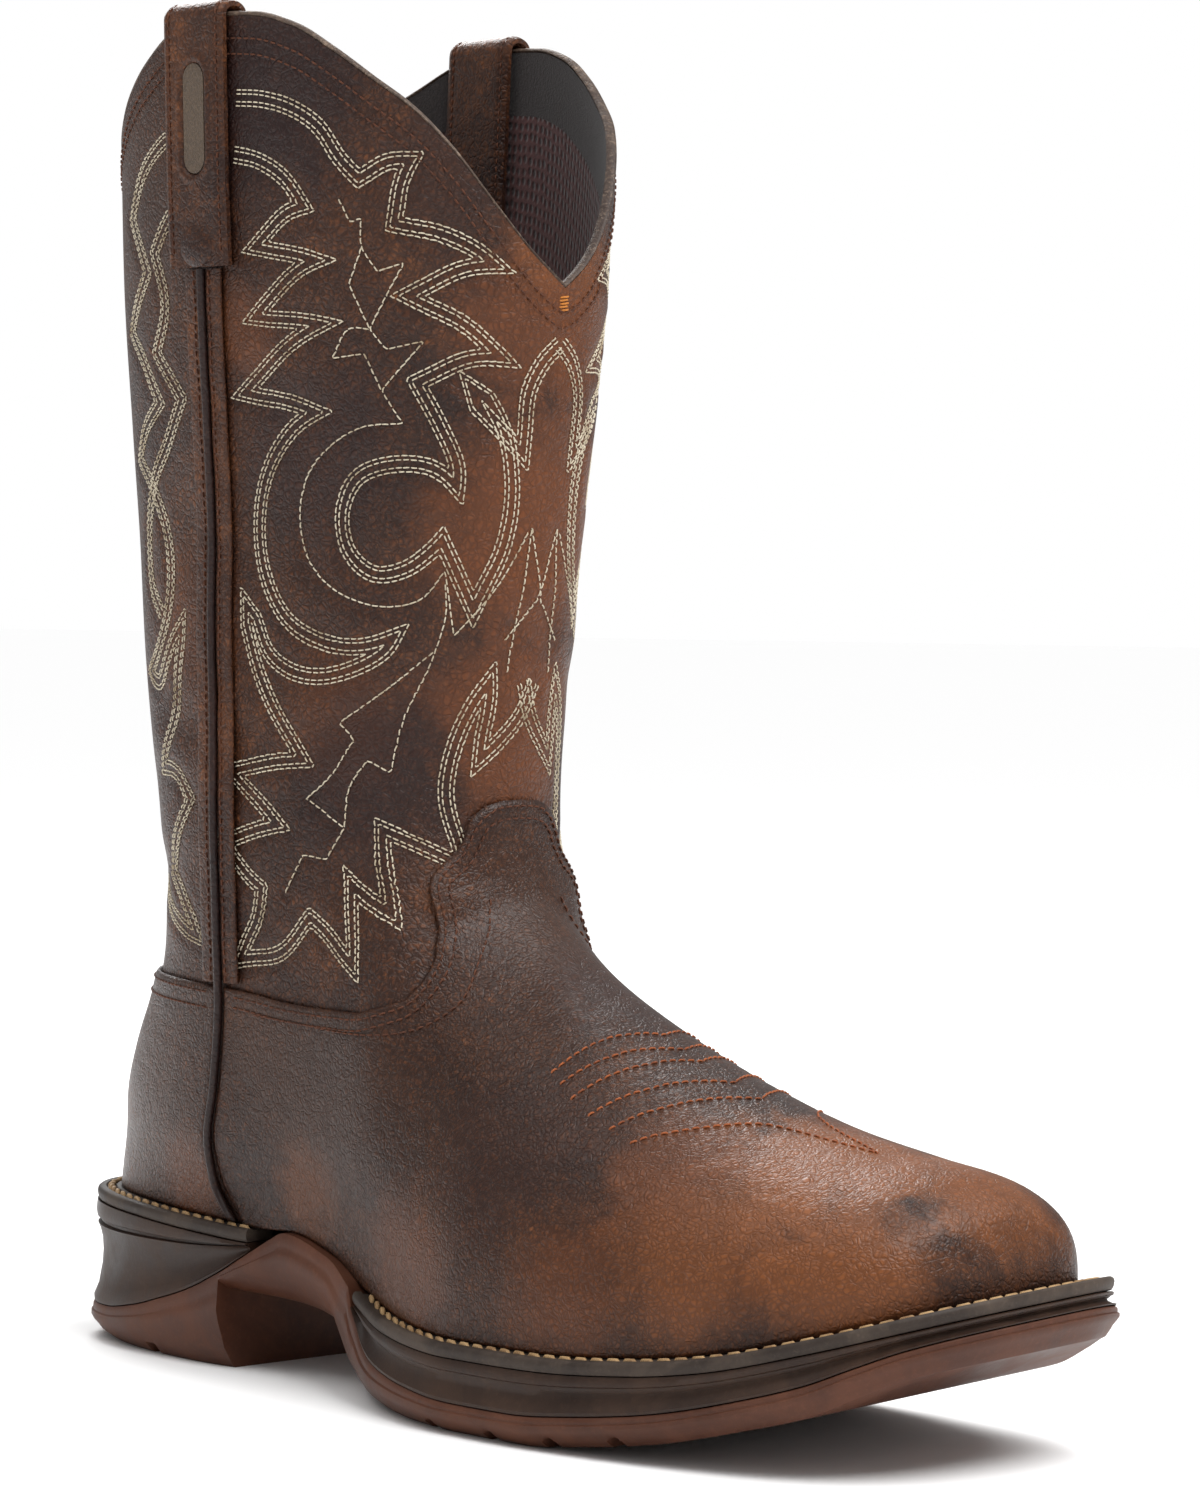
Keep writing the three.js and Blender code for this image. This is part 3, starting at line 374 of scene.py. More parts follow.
    def ring(self, shares: np.ndarray, u: np.ndarray) -> np.ndarray:
        """The upper's outer surface as rings round the boot.

        Args:
            shares: Row places from the lower edge, 0, to the collar, 1.
            u: Column places from heel, 0, to toe, 3.

        Returns:
            Points, rows by columns by 3; the columns run from the heel along the lateral side to
            the toe and back along the medial side.
        """
        def spaced(line: np.ndarray) -> np.ndarray:
            """Points of a silhouette at the rows' places."""
            return np.stack([np.interp(shares * (len(line) - 1), np.arange(len(line)), line[:, k])
                             for k in range(2)], axis=1)

        front, back = spaced(self.front), spaced(self.back)
        start, heel = self.front[0], self.back[0]
        halves = []
        for side in Side:
            feather = self.feather(u, side)[None]
            reach = (feather[..., 0] - heel[0]) / (start[0] - heel[0])
            around = np.arccos(np.clip(1 - 2 * reach, -1, 1)) / math.pi
            sag = self.seat(feather[..., 0]) + self.fit - mix(heel[1], start[1], reach)
            rim = self.shaft_height * (self.collar(around)
                                       - mix(self.collar(0), self.collar(1), reach))
            share = shares[:, None]
            x = mix(back[:, :1], front[:, :1], reach)
            z = mix(back[:, 1:], front[:, 1:], reach)
            z = z + (1 - ease(share / 0.35)) * sag + ease((share - 0.4) / 0.6) * rim
            foot = 1 - ease((z - self.seat(x)) / 22)
            fx = np.broadcast_to(feather[..., 0], x.shape)
            settle = foot * (np.abs(feather[..., 1]) - self.half_width(fx, self.seat(fx), side))
            half = np.maximum(self.half_width(x, z, side) + settle, 0)
            half = np.where((u <= 0) | (u >= 3), 0, half)
            halves.append(np.stack([x, side.value * half, z], axis=-1))
        points = np.concatenate([halves[0], halves[1][:, -2:0:-1]], axis=1)
        level = self.seat(points[..., 0])
        points = self.bend(points)
        close = 1 - ease((points[..., 2] - level - self.fit) / (self.forefoot_height * 2))
        points[..., 2] += (self.seat(points[..., 0]) - level) * close
        points[..., 2] += self.twist(points[..., 0], points[..., 1])
        return points

    def shaft_place(self, s: float, z: float, side: Side) -> np.ndarray:
        """A place on the shaft: s mm forwards of the side line (or back if negative), height z."""
        turn = np.linspace(0, math.pi / 2, 80)
        reach = np.interp(z, self.front[:, 1], self.front[:, 0]) - self.side_x
        if s < 0:
            reach = np.interp(z, self.back[:, 1], self.back[:, 0]) - self.side_x
        half = self.shaft_width * float(self.girth(z / self.shaft_height))
        x = self.side_x + reach * np.sin(turn) ** (2 / self.shaft_round)
        y = half * np.maximum(np.cos(turn), 0) ** (2 / self.shaft_round)
        length = np.concatenate([[0], np.cumsum(np.hypot(np.diff(x), np.diff(y)))])
        along, sign = abs(s), side.value
        if along > length[-1]:
            along, sign = 2 * length[-1] - along, -sign
        return np.array([np.interp(along, length, x), sign * np.interp(along, length, y), z])


# Meshes


def finished(name: str, bm: bmesh.types.BMesh, mats: Sequence[bpy.types.Material],
             smooth: bool = True, sharp: float = 40.0) -> bpy.types.Object:
    """Turns a bmesh, already in metres, into an object at the origin.

    Args:
        name: The object's name.
        bm: The mesh, freed here.
        mats: Materials by slot.
        smooth: Whether faces are shaded smooth.
        sharp: Angle in degrees past which an edge stays sharp.

    Returns:
        The linked object.
    """
    mesh = bpy.data.meshes.new(name)
    bm.to_mesh(mesh)
    bm.free()
    for mat in mats:
        mesh.materials.append(mat)
    if smooth:
        mesh.polygons.foreach_set("use_smooth", [True] * len(mesh.polygons))
        mesh.set_sharp_from_angle(angle=math.radians(sharp))
    obj = bpy.data.objects.new(name, mesh)
    bpy.context.scene.collection.objects.link(obj)
    return obj


def draped_grid(points: np.ndarray, wrap_rows: bool = False, wrap_columns: bool = False,
                size: tuple[float, float] = (1.0, 1.0)) -> bmesh.types.BMesh:
    """A grid whose points are laid on a form.

    Args:
        points: Rows by columns by 3, in metres.
        wrap_rows: Whether the last row joins the first.
        wrap_columns: Whether the last column joins the first.
        size: Width and height of the UV sheet.

    Returns:
        The mesh, with doubles merged where it joins itself.
    """
    rows, columns = points.shape[:2]
    across = columns if wrap_columns else columns - 1
    along = rows if wrap_rows else rows - 1
    bm = bmesh.new()
    bm.loops.layers.uv.new("UVMap")
    bmesh.ops.create_grid(bm, x_segments=across, y_segments=along, size=1.0, calc_uvs=True)
    bm.verts.ensure_lookup_table()
    layer = bm.loops.layers.uv.verify()
    spots = [(round((v.co.x + 1) / 2 * across), round((v.co.y + 1) / 2 * along))
             for v in bm.verts]
    for face in bm.faces:
        for loop in face.loops:
            i, j = spots[loop.vert.index]
            loop[layer].uv = (i / across * size[0], j / along * size[1])
    for vert, (i, j) in zip(bm.verts, spots):
        vert.co = points[j % rows, i % columns]
    bmesh.ops.remove_doubles(bm, verts=bm.verts, dist=2e-6)
    return bm


def close_ends(bm: bmesh.types.BMesh) -> None:
    """Fills the open ends of a swept piece and turns its faces outwards."""
    edges = [edge for edge in bm.edges if edge.is_boundary]
    if edges:
        bmesh.ops.holes_fill(bm, edges=edges, sides=0)
    bmesh.ops.recalc_face_normals(bm, faces=bm.faces)


class Surface:
    """A finished piece that rows of thread are laid on."""

    def __init__(self, obj: bpy.types.Object) -> None:
        """Keeps a search tree of the faces that have the object's first material."""
        verts = [v.co.copy() for v in obj.data.vertices]
        faces = [tuple(p.vertices) for p in obj.data.polygons if p.material_index == 0]
        self.tree = BVHTree.FromPolygons(verts, faces)

    def snap(self, point: Sequence[float]) -> tuple[Vector, Vector]:
        """The nearest point of the surface and its normal."""
        place, normal, _, _ = self.tree.find_nearest(Vector(point))
        return place, normal


@dataclass(frozen=True)
class Thread:
    """A sewing thread: pitch, stitch length and radius in millimetres."""

    pitch: float
    length: float
    radius: float
    lift: float = 0.25
    slant: float = 0.0

    def sew(self, name: str, rows: Iterable[np.ndarray], surface: Surface,
            mat: bpy.types.Material) -> bpy.types.Object:
        """Lays rows of stitches on a surface.

        Args:
            name: The piece's name.
            rows: Polylines in metres.
            surface: What the stitches lie on.
            mat: The thread's material.

        Returns:
            The joined stitches as one mesh.
        """
        curve = bpy.data.curves.new(name, "CURVE")
        curve.dimensions = "3D"
        curve.bevel_depth = self.radius * MM
        curve.bevel_resolution = 1
        curve.use_fill_caps = True
        for row in rows:
            length = arc_lengths(row)
            count = max(int(length[-1] / (self.pitch * MM)), 1)
            step = length[-1] / count
            span = step * self.length / self.pitch
            for k in range(count):
                spots = []
                for share, rise in ((0.0, -0.9), (0.25, 0.75), (0.75, 0.75), (1.0, -0.9)):
                    at = k * step + (step - span) / 2 + span * share
                    point = [np.interp(at, length, row[:, a]) for a in range(3)]
                    place, normal = surface.snap(point)
                    spots.append(place + normal * (self.lift * rise * MM))
                if self.slant:
                    aside = (spots[-1] - spots[0]).cross(normal).normalized()
                    for spot, share in zip(spots, (-1.0, -0.5, 0.5, 1.0)):
                        spot += aside * (self.slant * share * MM)
                spline = curve.splines.new("POLY")
                spline.points.add(3)
                for spot, target in zip(spots, spline.points):
                    target.co = (*spot, 1.0)
                    target.radius = 1.0
                spline.points[0].radius = spline.points[3].radius = 0.7
        carrier = bpy.data.objects.new(name + "_curve", curve)
        bpy.context.scene.collection.objects.link(carrier)
        graph = bpy.context.evaluated_depsgraph_get()
        mesh = bpy.data.meshes.new_from_object(carrier.evaluated_get(graph))
        bpy.data.objects.remove(carrier)
        mesh.name = name
        mesh.materials.clear()
        mesh.materials.append(mat)
        mesh.polygons.foreach_set("use_smooth", [True] * len(mesh.polygons))
        obj = bpy.data.objects.new(name, mesh)
        bpy.context.scene.collection.objects.link(obj)
        return obj


def search_tree(points: np.ndarray) -> kdtree.KDTree:
    """A tree that finds the nearest of some points."""
    tree = kdtree.KDTree(len(points))
    for i, spot in enumerate(points):
        tree.insert(spot, i)
    tree.balance()
    return tree


def dig(points: np.ndarray, normals: np.ndarray, rows: Sequence[np.ndarray], depth: float,
        width: float) -> np.ndarray:
    """Sinks a grid a little along rows of thread, so that the leather swells between them.

    Args:
        points: Grid points in metres.
        normals: Outward normals.
        rows: Polylines in metres, read at every millimetre.
        depth: Depth in metres at a row.
        width: Distance in metres over which the dip fades.

    Returns:
        The moved points.
    """
    tree = search_tree(np.concatenate([resample(row, max(int(len_of(row) / MM), 2))
                                       for row in rows]))
    far = np.array([tree.find(p)[2] for p in points.reshape(-1, 3)]).reshape(points.shape[:2])
    fall = np.exp(-((far / width) ** 2))
    return points - normals * (depth * fall)[..., None]


def len_of(row: np.ndarray) -> float:
    """Length of a polyline."""
    return float(np.linalg.norm(np.diff(row, axis=0), axis=1).sum())


def offset_row(row: np.ndarray, gap: float) -> np.ndarray:
    """A flat polyline moved sideways, mitred at its corners."""
    steps = np.diff(row, axis=0)
    steps /= np.maximum(np.linalg.norm(steps, axis=1, keepdims=True), 1e-9)
    sides = np.stack([-steps[:, 1], steps[:, 0]], axis=1)
    before = np.vstack([sides[:1], sides])
    after = np.vstack([sides, sides[-1:]])
    dot = np.sum(before * after, axis=1, keepdims=True)
    mitre = (before + after) / np.maximum(1 + dot, 0.3)
    return row + mitre * gap


def crossing(a: np.ndarray, b: np.ndarray) -> tuple[int, int, np.ndarray] | None:
    """Where two flat polylines cross: a segment of each and the place, the last one along a."""
    p, r = a[:-1, None], np.diff(a, axis=0)[:, None]
    q, s = b[None, :-1], np.diff(b, axis=0)[None]
    area = r[..., 0] * s[..., 1] - r[..., 1] * s[..., 0]
    area = np.where(np.abs(area) < 1e-9, 1e-9, area)
    d = q - p
    t = (d[..., 0] * s[..., 1] - d[..., 1] * s[..., 0]) / area
    u = (d[..., 0] * r[..., 1] - d[..., 1] * r[..., 0]) / area
    hits = np.argwhere((t >= 0) & (t <= 1) & (u >= 0) & (u <= 1))
    if not len(hits):
        return None
    i, j = hits[0]
    return int(i), int(j), a[i] + (a[i + 1] - a[i]) * t[i, j]


def offset_runs(lines: Sequence[np.ndarray], gap: float) -> np.ndarray:
    """Moves a row's runs sideways and joins them in clean corners."""
    moved = [offset_row(line, gap) for line in lines]
    for k in range(len(moved) - 1):
        a, b = moved[k], moved[k + 1]
        hit = crossing(a, b)
        if hit:
            moved[k] = np.vstack([a[: hit[0] + 1], hit[2]])
            moved[k + 1] = np.vstack([hit[2], b[hit[1] + 1 :]])
            continue
        ahead = a[-1] - a[-2]
        back = b[0] - b[1]
        reach = 2.4 * abs(gap)
        long_a = np.vstack([a[-1], a[-1] + ahead / np.linalg.norm(ahead) * reach])
        long_b = np.vstack([b[0], b[0] + back / np.linalg.norm(back) * reach])
        hit = crossing(long_a, long_b)
        tip = hit[2] if hit else (long_a[1] + long_b[1]) / 2
        moved[k] = np.vstack([a, tip])
    return np.vstack(moved)


# Finishes


class Nodes:
    """Short ways to place and join shader nodes in one tree."""

    def __init__(self, tree: bpy.types.NodeTree) -> None:
        """Keeps the tree."""
        self.tree = tree

    def add(self, kind: str, inputs: dict | None = None, **settings: object) -> bpy.types.Node:
        """Places a node.

        Args:
            kind: The node's type.
            inputs: Values or sockets by input name or index.
            settings: Properties of the node.

        Returns:
            The node.
        """
        node = self.tree.nodes.new(kind)
        for key, value in settings.items():
            setattr(node, key, value)
        self.feed(node, inputs or {})
        return node

    def feed(self, node: bpy.types.Node, inputs: dict) -> None:
        """Sets inputs of a node to values, or joins them to sockets."""
        for key, value in inputs.items():
            if isinstance(value, bpy.types.NodeSocket):
                self.tree.links.new(value, node.inputs[key])
            else:
                node.inputs[key].default_value = value

    def math(self, operation: str, a: object, b: object = 0.0,
             clamp: bool = False) -> bpy.types.NodeSocket:
        """The result of a Math node."""
        return self.add("ShaderNodeMath", {0: a, 1: b}, operation=operation,
                        use_clamp=clamp).outputs[0]

    def noise(self, vector: object, scale: object, detail: float = 4.0,
              rough: float = 0.55, warp: float = 0.0) -> bpy.types.NodeSocket:
        """A noise value."""
        return self.add("ShaderNodeTexNoise", {"Vector": vector, "Scale": scale, "Detail": detail,
                                               "Roughness": rough, "Distortion": warp}).outputs[0]

    def ramp(self, value: object, low: float, high: float, out_low: float = 0.0,
             out_high: float = 1.0) -> bpy.types.NodeSocket:
        """A smooth step of a value."""
        node = self.add("ShaderNodeMapRange", {0: value, 1: low, 2: high, 3: out_low, 4: out_high},
                        interpolation_type="SMOOTHSTEP")
        return node.outputs[0]

    def blend(self, share: object, a: object, b: object) -> bpy.types.NodeSocket:
        """A blend of two colours, each a socket or three values."""
        a, b = ((*end, 1.0) if isinstance(end, tuple) else end for end in (a, b))
        return self.add("ShaderNodeMix", {0: share, 6: a, 7: b}, data_type="RGBA").outputs[2]


def new_group(name: str, inputs: Sequence[tuple[str, str, object]],
              outputs: Sequence[tuple[str, str]]) -> tuple[bpy.types.NodeTree, Nodes]:
    """An empty shader group with named sockets."""
    tree = bpy.data.node_groups.new(name, "ShaderNodeTree")
    for label, kind, value in inputs:
        socket = tree.interface.new_socket(label, in_out="INPUT", socket_type=kind)
        if value is not None:
            socket.default_value = value
    for label, kind in outputs:
        tree.interface.new_socket(label, in_out="OUTPUT", socket_type=kind)
    return tree, Nodes(tree)


def grain_group() -> bpy.types.NodeTree:
    """Pebbled hide: rounded cells of two sizes, creases between them and fine pores."""
    tree, kit = new_group(
        "hide_grain",
        [("Vector", "NodeSocketVector", None), ("Cells", "NodeSocketFloat", 620.0),
         ("Pores", "NodeSocketFloat", 2600.0)],
        [("Height", "NodeSocketFloat"), ("Creases", "NodeSocketFloat")])
    ins = kit.add("NodeGroupInput")
    warp = kit.add("ShaderNodeTexNoise", {"Vector": ins.outputs["Vector"], "Scale": 180.0})
    bent = kit.add("ShaderNodeMix", {0: 0.0035, 4: ins.outputs["Vector"], 5: warp.outputs[1]},
                   data_type="VECTOR").outputs[1]
    cells = kit.add("ShaderNodeTexVoronoi", {"Vector": bent, "Scale": ins.outputs["Cells"]},
                    feature="DISTANCE_TO_EDGE")
    domes = kit.ramp(cells.outputs[0], 0.0, 0.32)
    half = kit.math("MULTIPLY", ins.outputs["Cells"], 0.43)
    wide = kit.add("ShaderNodeTexVoronoi", {"Vector": bent, "Scale": half},
                   feature="DISTANCE_TO_EDGE")
    lines = kit.ramp(wide.outputs[0], 0.0, 0.09)
    pores = kit.noise(ins.outputs["Vector"], ins.outputs["Pores"], 2.0)
    height = kit.math("ADD", kit.math("MULTIPLY", domes, 0.5), kit.math("MULTIPLY", lines, 0.35))
    height = kit.math("ADD", height, kit.math("MULTIPLY", pores, 0.35))
    creases = kit.math("SUBTRACT", 1.0, kit.math("MULTIPLY", domes, lines), clamp=True)
    kit.add("NodeGroupOutput", {"Height": height, "Creases": creases})
    return tree


def pull_up_group() -> bpy.types.NodeTree:
    """Oiled pull-up colour: cloudy dark and mid browns with rubbed, scratched rust patches, and
    painted shade in the grain's creases.
    """
    tree, kit = new_group(
        "pull_up_colour",
        [("Vector", "NodeSocketVector", None), ("Dark", "NodeSocketColor", (0.02, 0.01, 0.008, 1)),
         ("Mid", "NodeSocketColor", (0.07, 0.03, 0.016, 1)),
         ("Rub", "NodeSocketColor", (0.2, 0.075, 0.03, 1)),
         ("Wear", "NodeSocketFloat", 0.3), ("Creases", "NodeSocketFloat", 0.0)],
        [("Color", "NodeSocketColor"), ("Rubbed", "NodeSocketFloat")])
    ins = kit.add("NodeGroupInput")
    vector = ins.outputs["Vector"]
    cloud = kit.noise(vector, 17.0, 5.0, 0.6, 0.8)
    patch = kit.noise(vector, 75.0, 6.0, 0.65, 1.4)
    fleck = kit.noise(vector, 420.0, 5.0, 0.7, 0.5)
    scratch_space = kit.add("ShaderNodeMapping", {"Vector": vector, "Scale": (1.0, 1.0, 0.22),
                                                  "Rotation": (0.35, 0.2, 0.4)}).outputs[0]
    scratch = kit.noise(scratch_space, 900.0, 3.0, 0.6)
    base = kit.blend(kit.ramp(cloud, 0.34, 0.66), ins.outputs["Dark"], ins.outputs["Mid"])
    base = kit.blend(kit.math("MULTIPLY", kit.ramp(patch, 0.42, 0.7), 0.55), base,
                     ins.outputs["Mid"])
    level = kit.math("ADD", kit.math("MULTIPLY", patch, 0.55), kit.math("MULTIPLY", fleck, 0.6))
    level = kit.math("ADD", level, kit.math("MULTIPLY", cloud, 0.35))
    limit = kit.math("SUBTRACT", 1.07, kit.math("MULTIPLY", ins.outputs["Wear"], 0.55))
    over = kit.math("SUBTRACT", level, limit)
    rubbed = kit.ramp(over, -0.12, 0.14)
    thin = kit.math("MULTIPLY", kit.ramp(scratch, 0.62, 0.74), kit.ramp(cloud, 0.3, 0.8))
    rubbed = kit.math("ADD", rubbed, kit.math("MULTIPLY", thin, 0.45), clamp=True)
    colour = kit.blend(rubbed, base, ins.outputs["Rub"])
    # Painted shade: the grain's creases are darkened towards near black.
    shade = kit.math("MULTIPLY", ins.outputs["Creases"], 0.5)
    colour = kit.blend(shade, colour, (0.012, 0.006, 0.005))
    dust = kit.math("MULTIPLY", kit.ramp(fleck, 0.66, 0.8), 0.16)
    colour = kit.blend(dust, colour, (0.25, 0.16, 0.1))
    kit.add("NodeGroupOutput", {"Color": colour, "Rubbed": rubbed})
    return tree


@dataclass(frozen=True)
class Blot:
    """A soft patch of colour on the leather: centre in metres and radius."""

    centre: tuple[float, float, float]
    radius: float
    colour: Colour
    strength: float = 0.7


@dataclass(frozen=True)
class LeatherFinish:
    """An oiled, distressed leather."""

    name: str
    dark: Colour = (0.024, 0.009, 0.006)
    mid: Colour = (0.078, 0.027, 0.011)
    rub: Colour = (0.2, 0.068, 0.021)
    wear: float = 0.32
    cells: float = 620.0
    relief: float = 0.00035
    rough: tuple[float, float] = (0.38, 0.62)
    blots: tuple[Blot, ...] = ()

    def build(self, grain: bpy.types.NodeTree, colour: bpy.types.NodeTree) -> bpy.types.Material:
        """Makes the material from the shared groups.

        Args:
            grain: The hide grain group.
            colour: The pull-up colour group.

        Returns:
            The material.
        """
        mat, kit, shader = new_material(self.name)
        vector = kit.add("ShaderNodeTexCoord").outputs["Object"]
        hide = kit.add("ShaderNodeGroup", {"Vector": vector, "Cells": self.cells},
                       node_tree=grain)
        look = kit.add("ShaderNodeGroup", {
            "Vector": vector, "Creases": hide.outputs["Creases"], "Wear": self.wear,
            "Dark": (*self.dark, 1.0), "Mid": (*self.mid, 1.0), "Rub": (*self.rub, 1.0),
        }, node_tree=colour)
        fleck = kit.ramp(kit.noise(vector, 1000.0, 3.0, 0.7), 0.53, 0.66)
        shown = kit.blend(kit.math("MULTIPLY", fleck, 0.3), look.outputs["Color"], self.rub)
        ragged = kit.noise(vector, 60.0, 5.0, 0.65, 1.0)
        # Blots blend in patches of colour; the grey-brown ones are painted sheen and the bright
        # orange ones partly painted highlight.
        for blot in self.blots:
            gap = kit.add("ShaderNodeVectorMath", {0: vector, 1: blot.centre},
                          operation="DISTANCE").outputs["Value"]
            fray = kit.math("MULTIPLY", kit.math("SUBTRACT", ragged, 0.5), 1.1)
            share = kit.math("ADD", kit.math("DIVIDE", gap, blot.radius), fray)
            mask = kit.math("MULTIPLY", kit.ramp(share, 1.05, 0.35), blot.strength)
            shown = kit.blend(mask, shown, blot.colour)
        # Painted shade: the grain's creases are darkened once more on blotted leathers.
        if self.blots:
            shown = kit.blend(kit.math("MULTIPLY", hide.outputs["Creases"], 0.32), shown,
                              (0.014, 0.007, 0.005))
        sheen = kit.math("ADD", kit.math("MULTIPLY", look.outputs["Rubbed"], 0.55),
                         kit.math("MULTIPLY", ragged, 0.45))
        rough = kit.ramp(sheen, 0.0, 1.0, self.rough[0], self.rough[1])
        wrinkle = kit.noise(vector, 130.0, 6.0, 0.6, 2.0)
        coarse = kit.add("ShaderNodeBump", {"Strength": 0.55, "Distance": 0.0008,
                                            "Height": wrinkle})
        bump = kit.add("ShaderNodeBump", {"Strength": 0.85, "Distance": self.relief,
                                          "Height": hide.outputs["Height"],
                                          "Normal": coarse.outputs[0]})
        kit.feed(shader, {"Base Color": shown, "Roughness": rough, "Normal": bump.outputs[0],
                          "Coat Weight": 0.04, "Coat Roughness": 0.35})
        return mat


@dataclass(frozen=True)
class RubberFinish:
    """A moulded rubber with dust in its pores and a scuffed face."""

    name: str
    base: Colour
    worn: Colour
    rough: float = 0.55
    relief: float = 0.00012

    def build(self) -> bpy.types.Material:
        """Makes the material."""
        mat, kit, shader = new_material(self.name)
        vector = kit.add("ShaderNodeTexCoord").outputs["Object"]
        cloud = kit.noise(vector, 45.0, 6.0, 0.65, 0.6)
        fleck = kit.noise(vector, 700.0, 4.0, 0.7)
        share = kit.math("ADD", kit.math("MULTIPLY", kit.ramp(cloud, 0.35, 0.7), 0.7),
                         kit.math("MULTIPLY", kit.ramp(fleck, 0.5, 0.75), 0.35), clamp=True)
        rough = kit.ramp(cloud, 0.2, 0.8, self.rough - 0.12, self.rough + 0.14)
        bump = kit.add("ShaderNodeBump", {"Strength": 0.6, "Distance": self.relief,
                                          "Height": kit.math("ADD", fleck, cloud)})
        kit.feed(shader, {"Base Color": kit.blend(share, self.base, self.worn),
                          "Roughness": rough, "Normal": bump.outputs[0]})
        return mat


@dataclass(frozen=True)
class ClothFinish:
    """A knitted or felted lining; weave is in threads a metre, nought for felt."""

    name: str
    base: Colour
    light: Colour
    weave: float = 0.0
    rough: float = 0.9

    def build(self) -> bpy.types.Material:
        """Makes the material."""
        mat, kit, shader = new_material(self.name)
        place = kit.add("ShaderNodeTexCoord")
        vector = place.outputs["Object"]
        fuzz = kit.noise(vector, 1500.0, 4.0, 0.7)
        height = fuzz
        share = kit.ramp(fuzz, 0.35, 0.75)
        if self.weave:
            sheet = kit.add("ShaderNodeMapping", {"Vector": place.outputs["UV"],
                                                  "Scale": (self.weave, self.weave, 1.0)})
            cells = kit.add("ShaderNodeTexVoronoi", {"Vector": sheet.outputs[0], "Scale": 1.0,
                                                     "Randomness": 0.25}, feature="F1")
            holes = kit.ramp(cells.outputs[0], 0.15, 0.5)
            height = kit.math("ADD", kit.math("MULTIPLY", fuzz, 0.3), holes)
            share = kit.math("MULTIPLY", holes, kit.ramp(fuzz, 0.1, 0.7))
        bump = kit.add("ShaderNodeBump", {"Strength": 0.8, "Distance": 0.0004, "Height": height})
        kit.feed(shader, {"Base Color": kit.blend(share, self.base, self.light),
                          "Roughness": self.rough, "Normal": bump.outputs[0],
                          "Sheen Weight": 0.25})
        return mat


@dataclass(frozen=True)
class ThreadFinish:
    """A waxed or spun thread."""

    name: str
    base: Colour
    dirt: Colour
    ply: float = 1600.0

    def build(self) -> bpy.types.Material:
        """Makes the material."""
        mat, kit, shader = new_material(self.name)
        vector = kit.add("ShaderNodeTexCoord").outputs["Object"]
        soil = kit.noise(vector, 130.0, 4.0, 0.6)
        strand = kit.add("ShaderNodeTexWave", {"Vector": vector, "Scale": self.ply,
                                               "Distortion": 1.5}, bands_direction="DIAGONAL")
        bump = kit.add("ShaderNodeBump", {"Strength": 0.5, "Distance": 0.0001,
                                          "Height": strand.outputs[1]})
        shade = kit.blend(kit.ramp(soil, 0.4, 0.75), self.base, self.dirt)
        kit.feed(shader, {"Base Color": shade, "Roughness": 0.6, "Normal": bump.outputs[0]})
        return mat


def new_material(name: str) -> tuple[bpy.types.Material, Nodes, bpy.types.Node]:
    """A material with only a Principled shader and its output."""
    mat = bpy.data.materials.new(name)
    mat.use_nodes = True
    mat.node_tree.nodes.clear()
    kit = Nodes(mat.node_tree)
    shader = kit.add("ShaderNodeBsdfPrincipled", {"Specular IOR Level": 0.24})
    kit.add("ShaderNodeOutputMaterial", {"Surface": shader.outputs[0]})
    return mat, kit, shader


def hand_over(obj: bpy.types.Object, slot: str, *nodes: str) -> bpy.types.Object:
    """Lets a piece ride on the boot and stand for CAD nodes, which are hidden."""
    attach(obj, "root")
    if nodes:
        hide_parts(*nodes)
    LOG.info("%s: %d faces", obj.name, len(obj.data.polygons))
    return obj


# Sub-assemblies


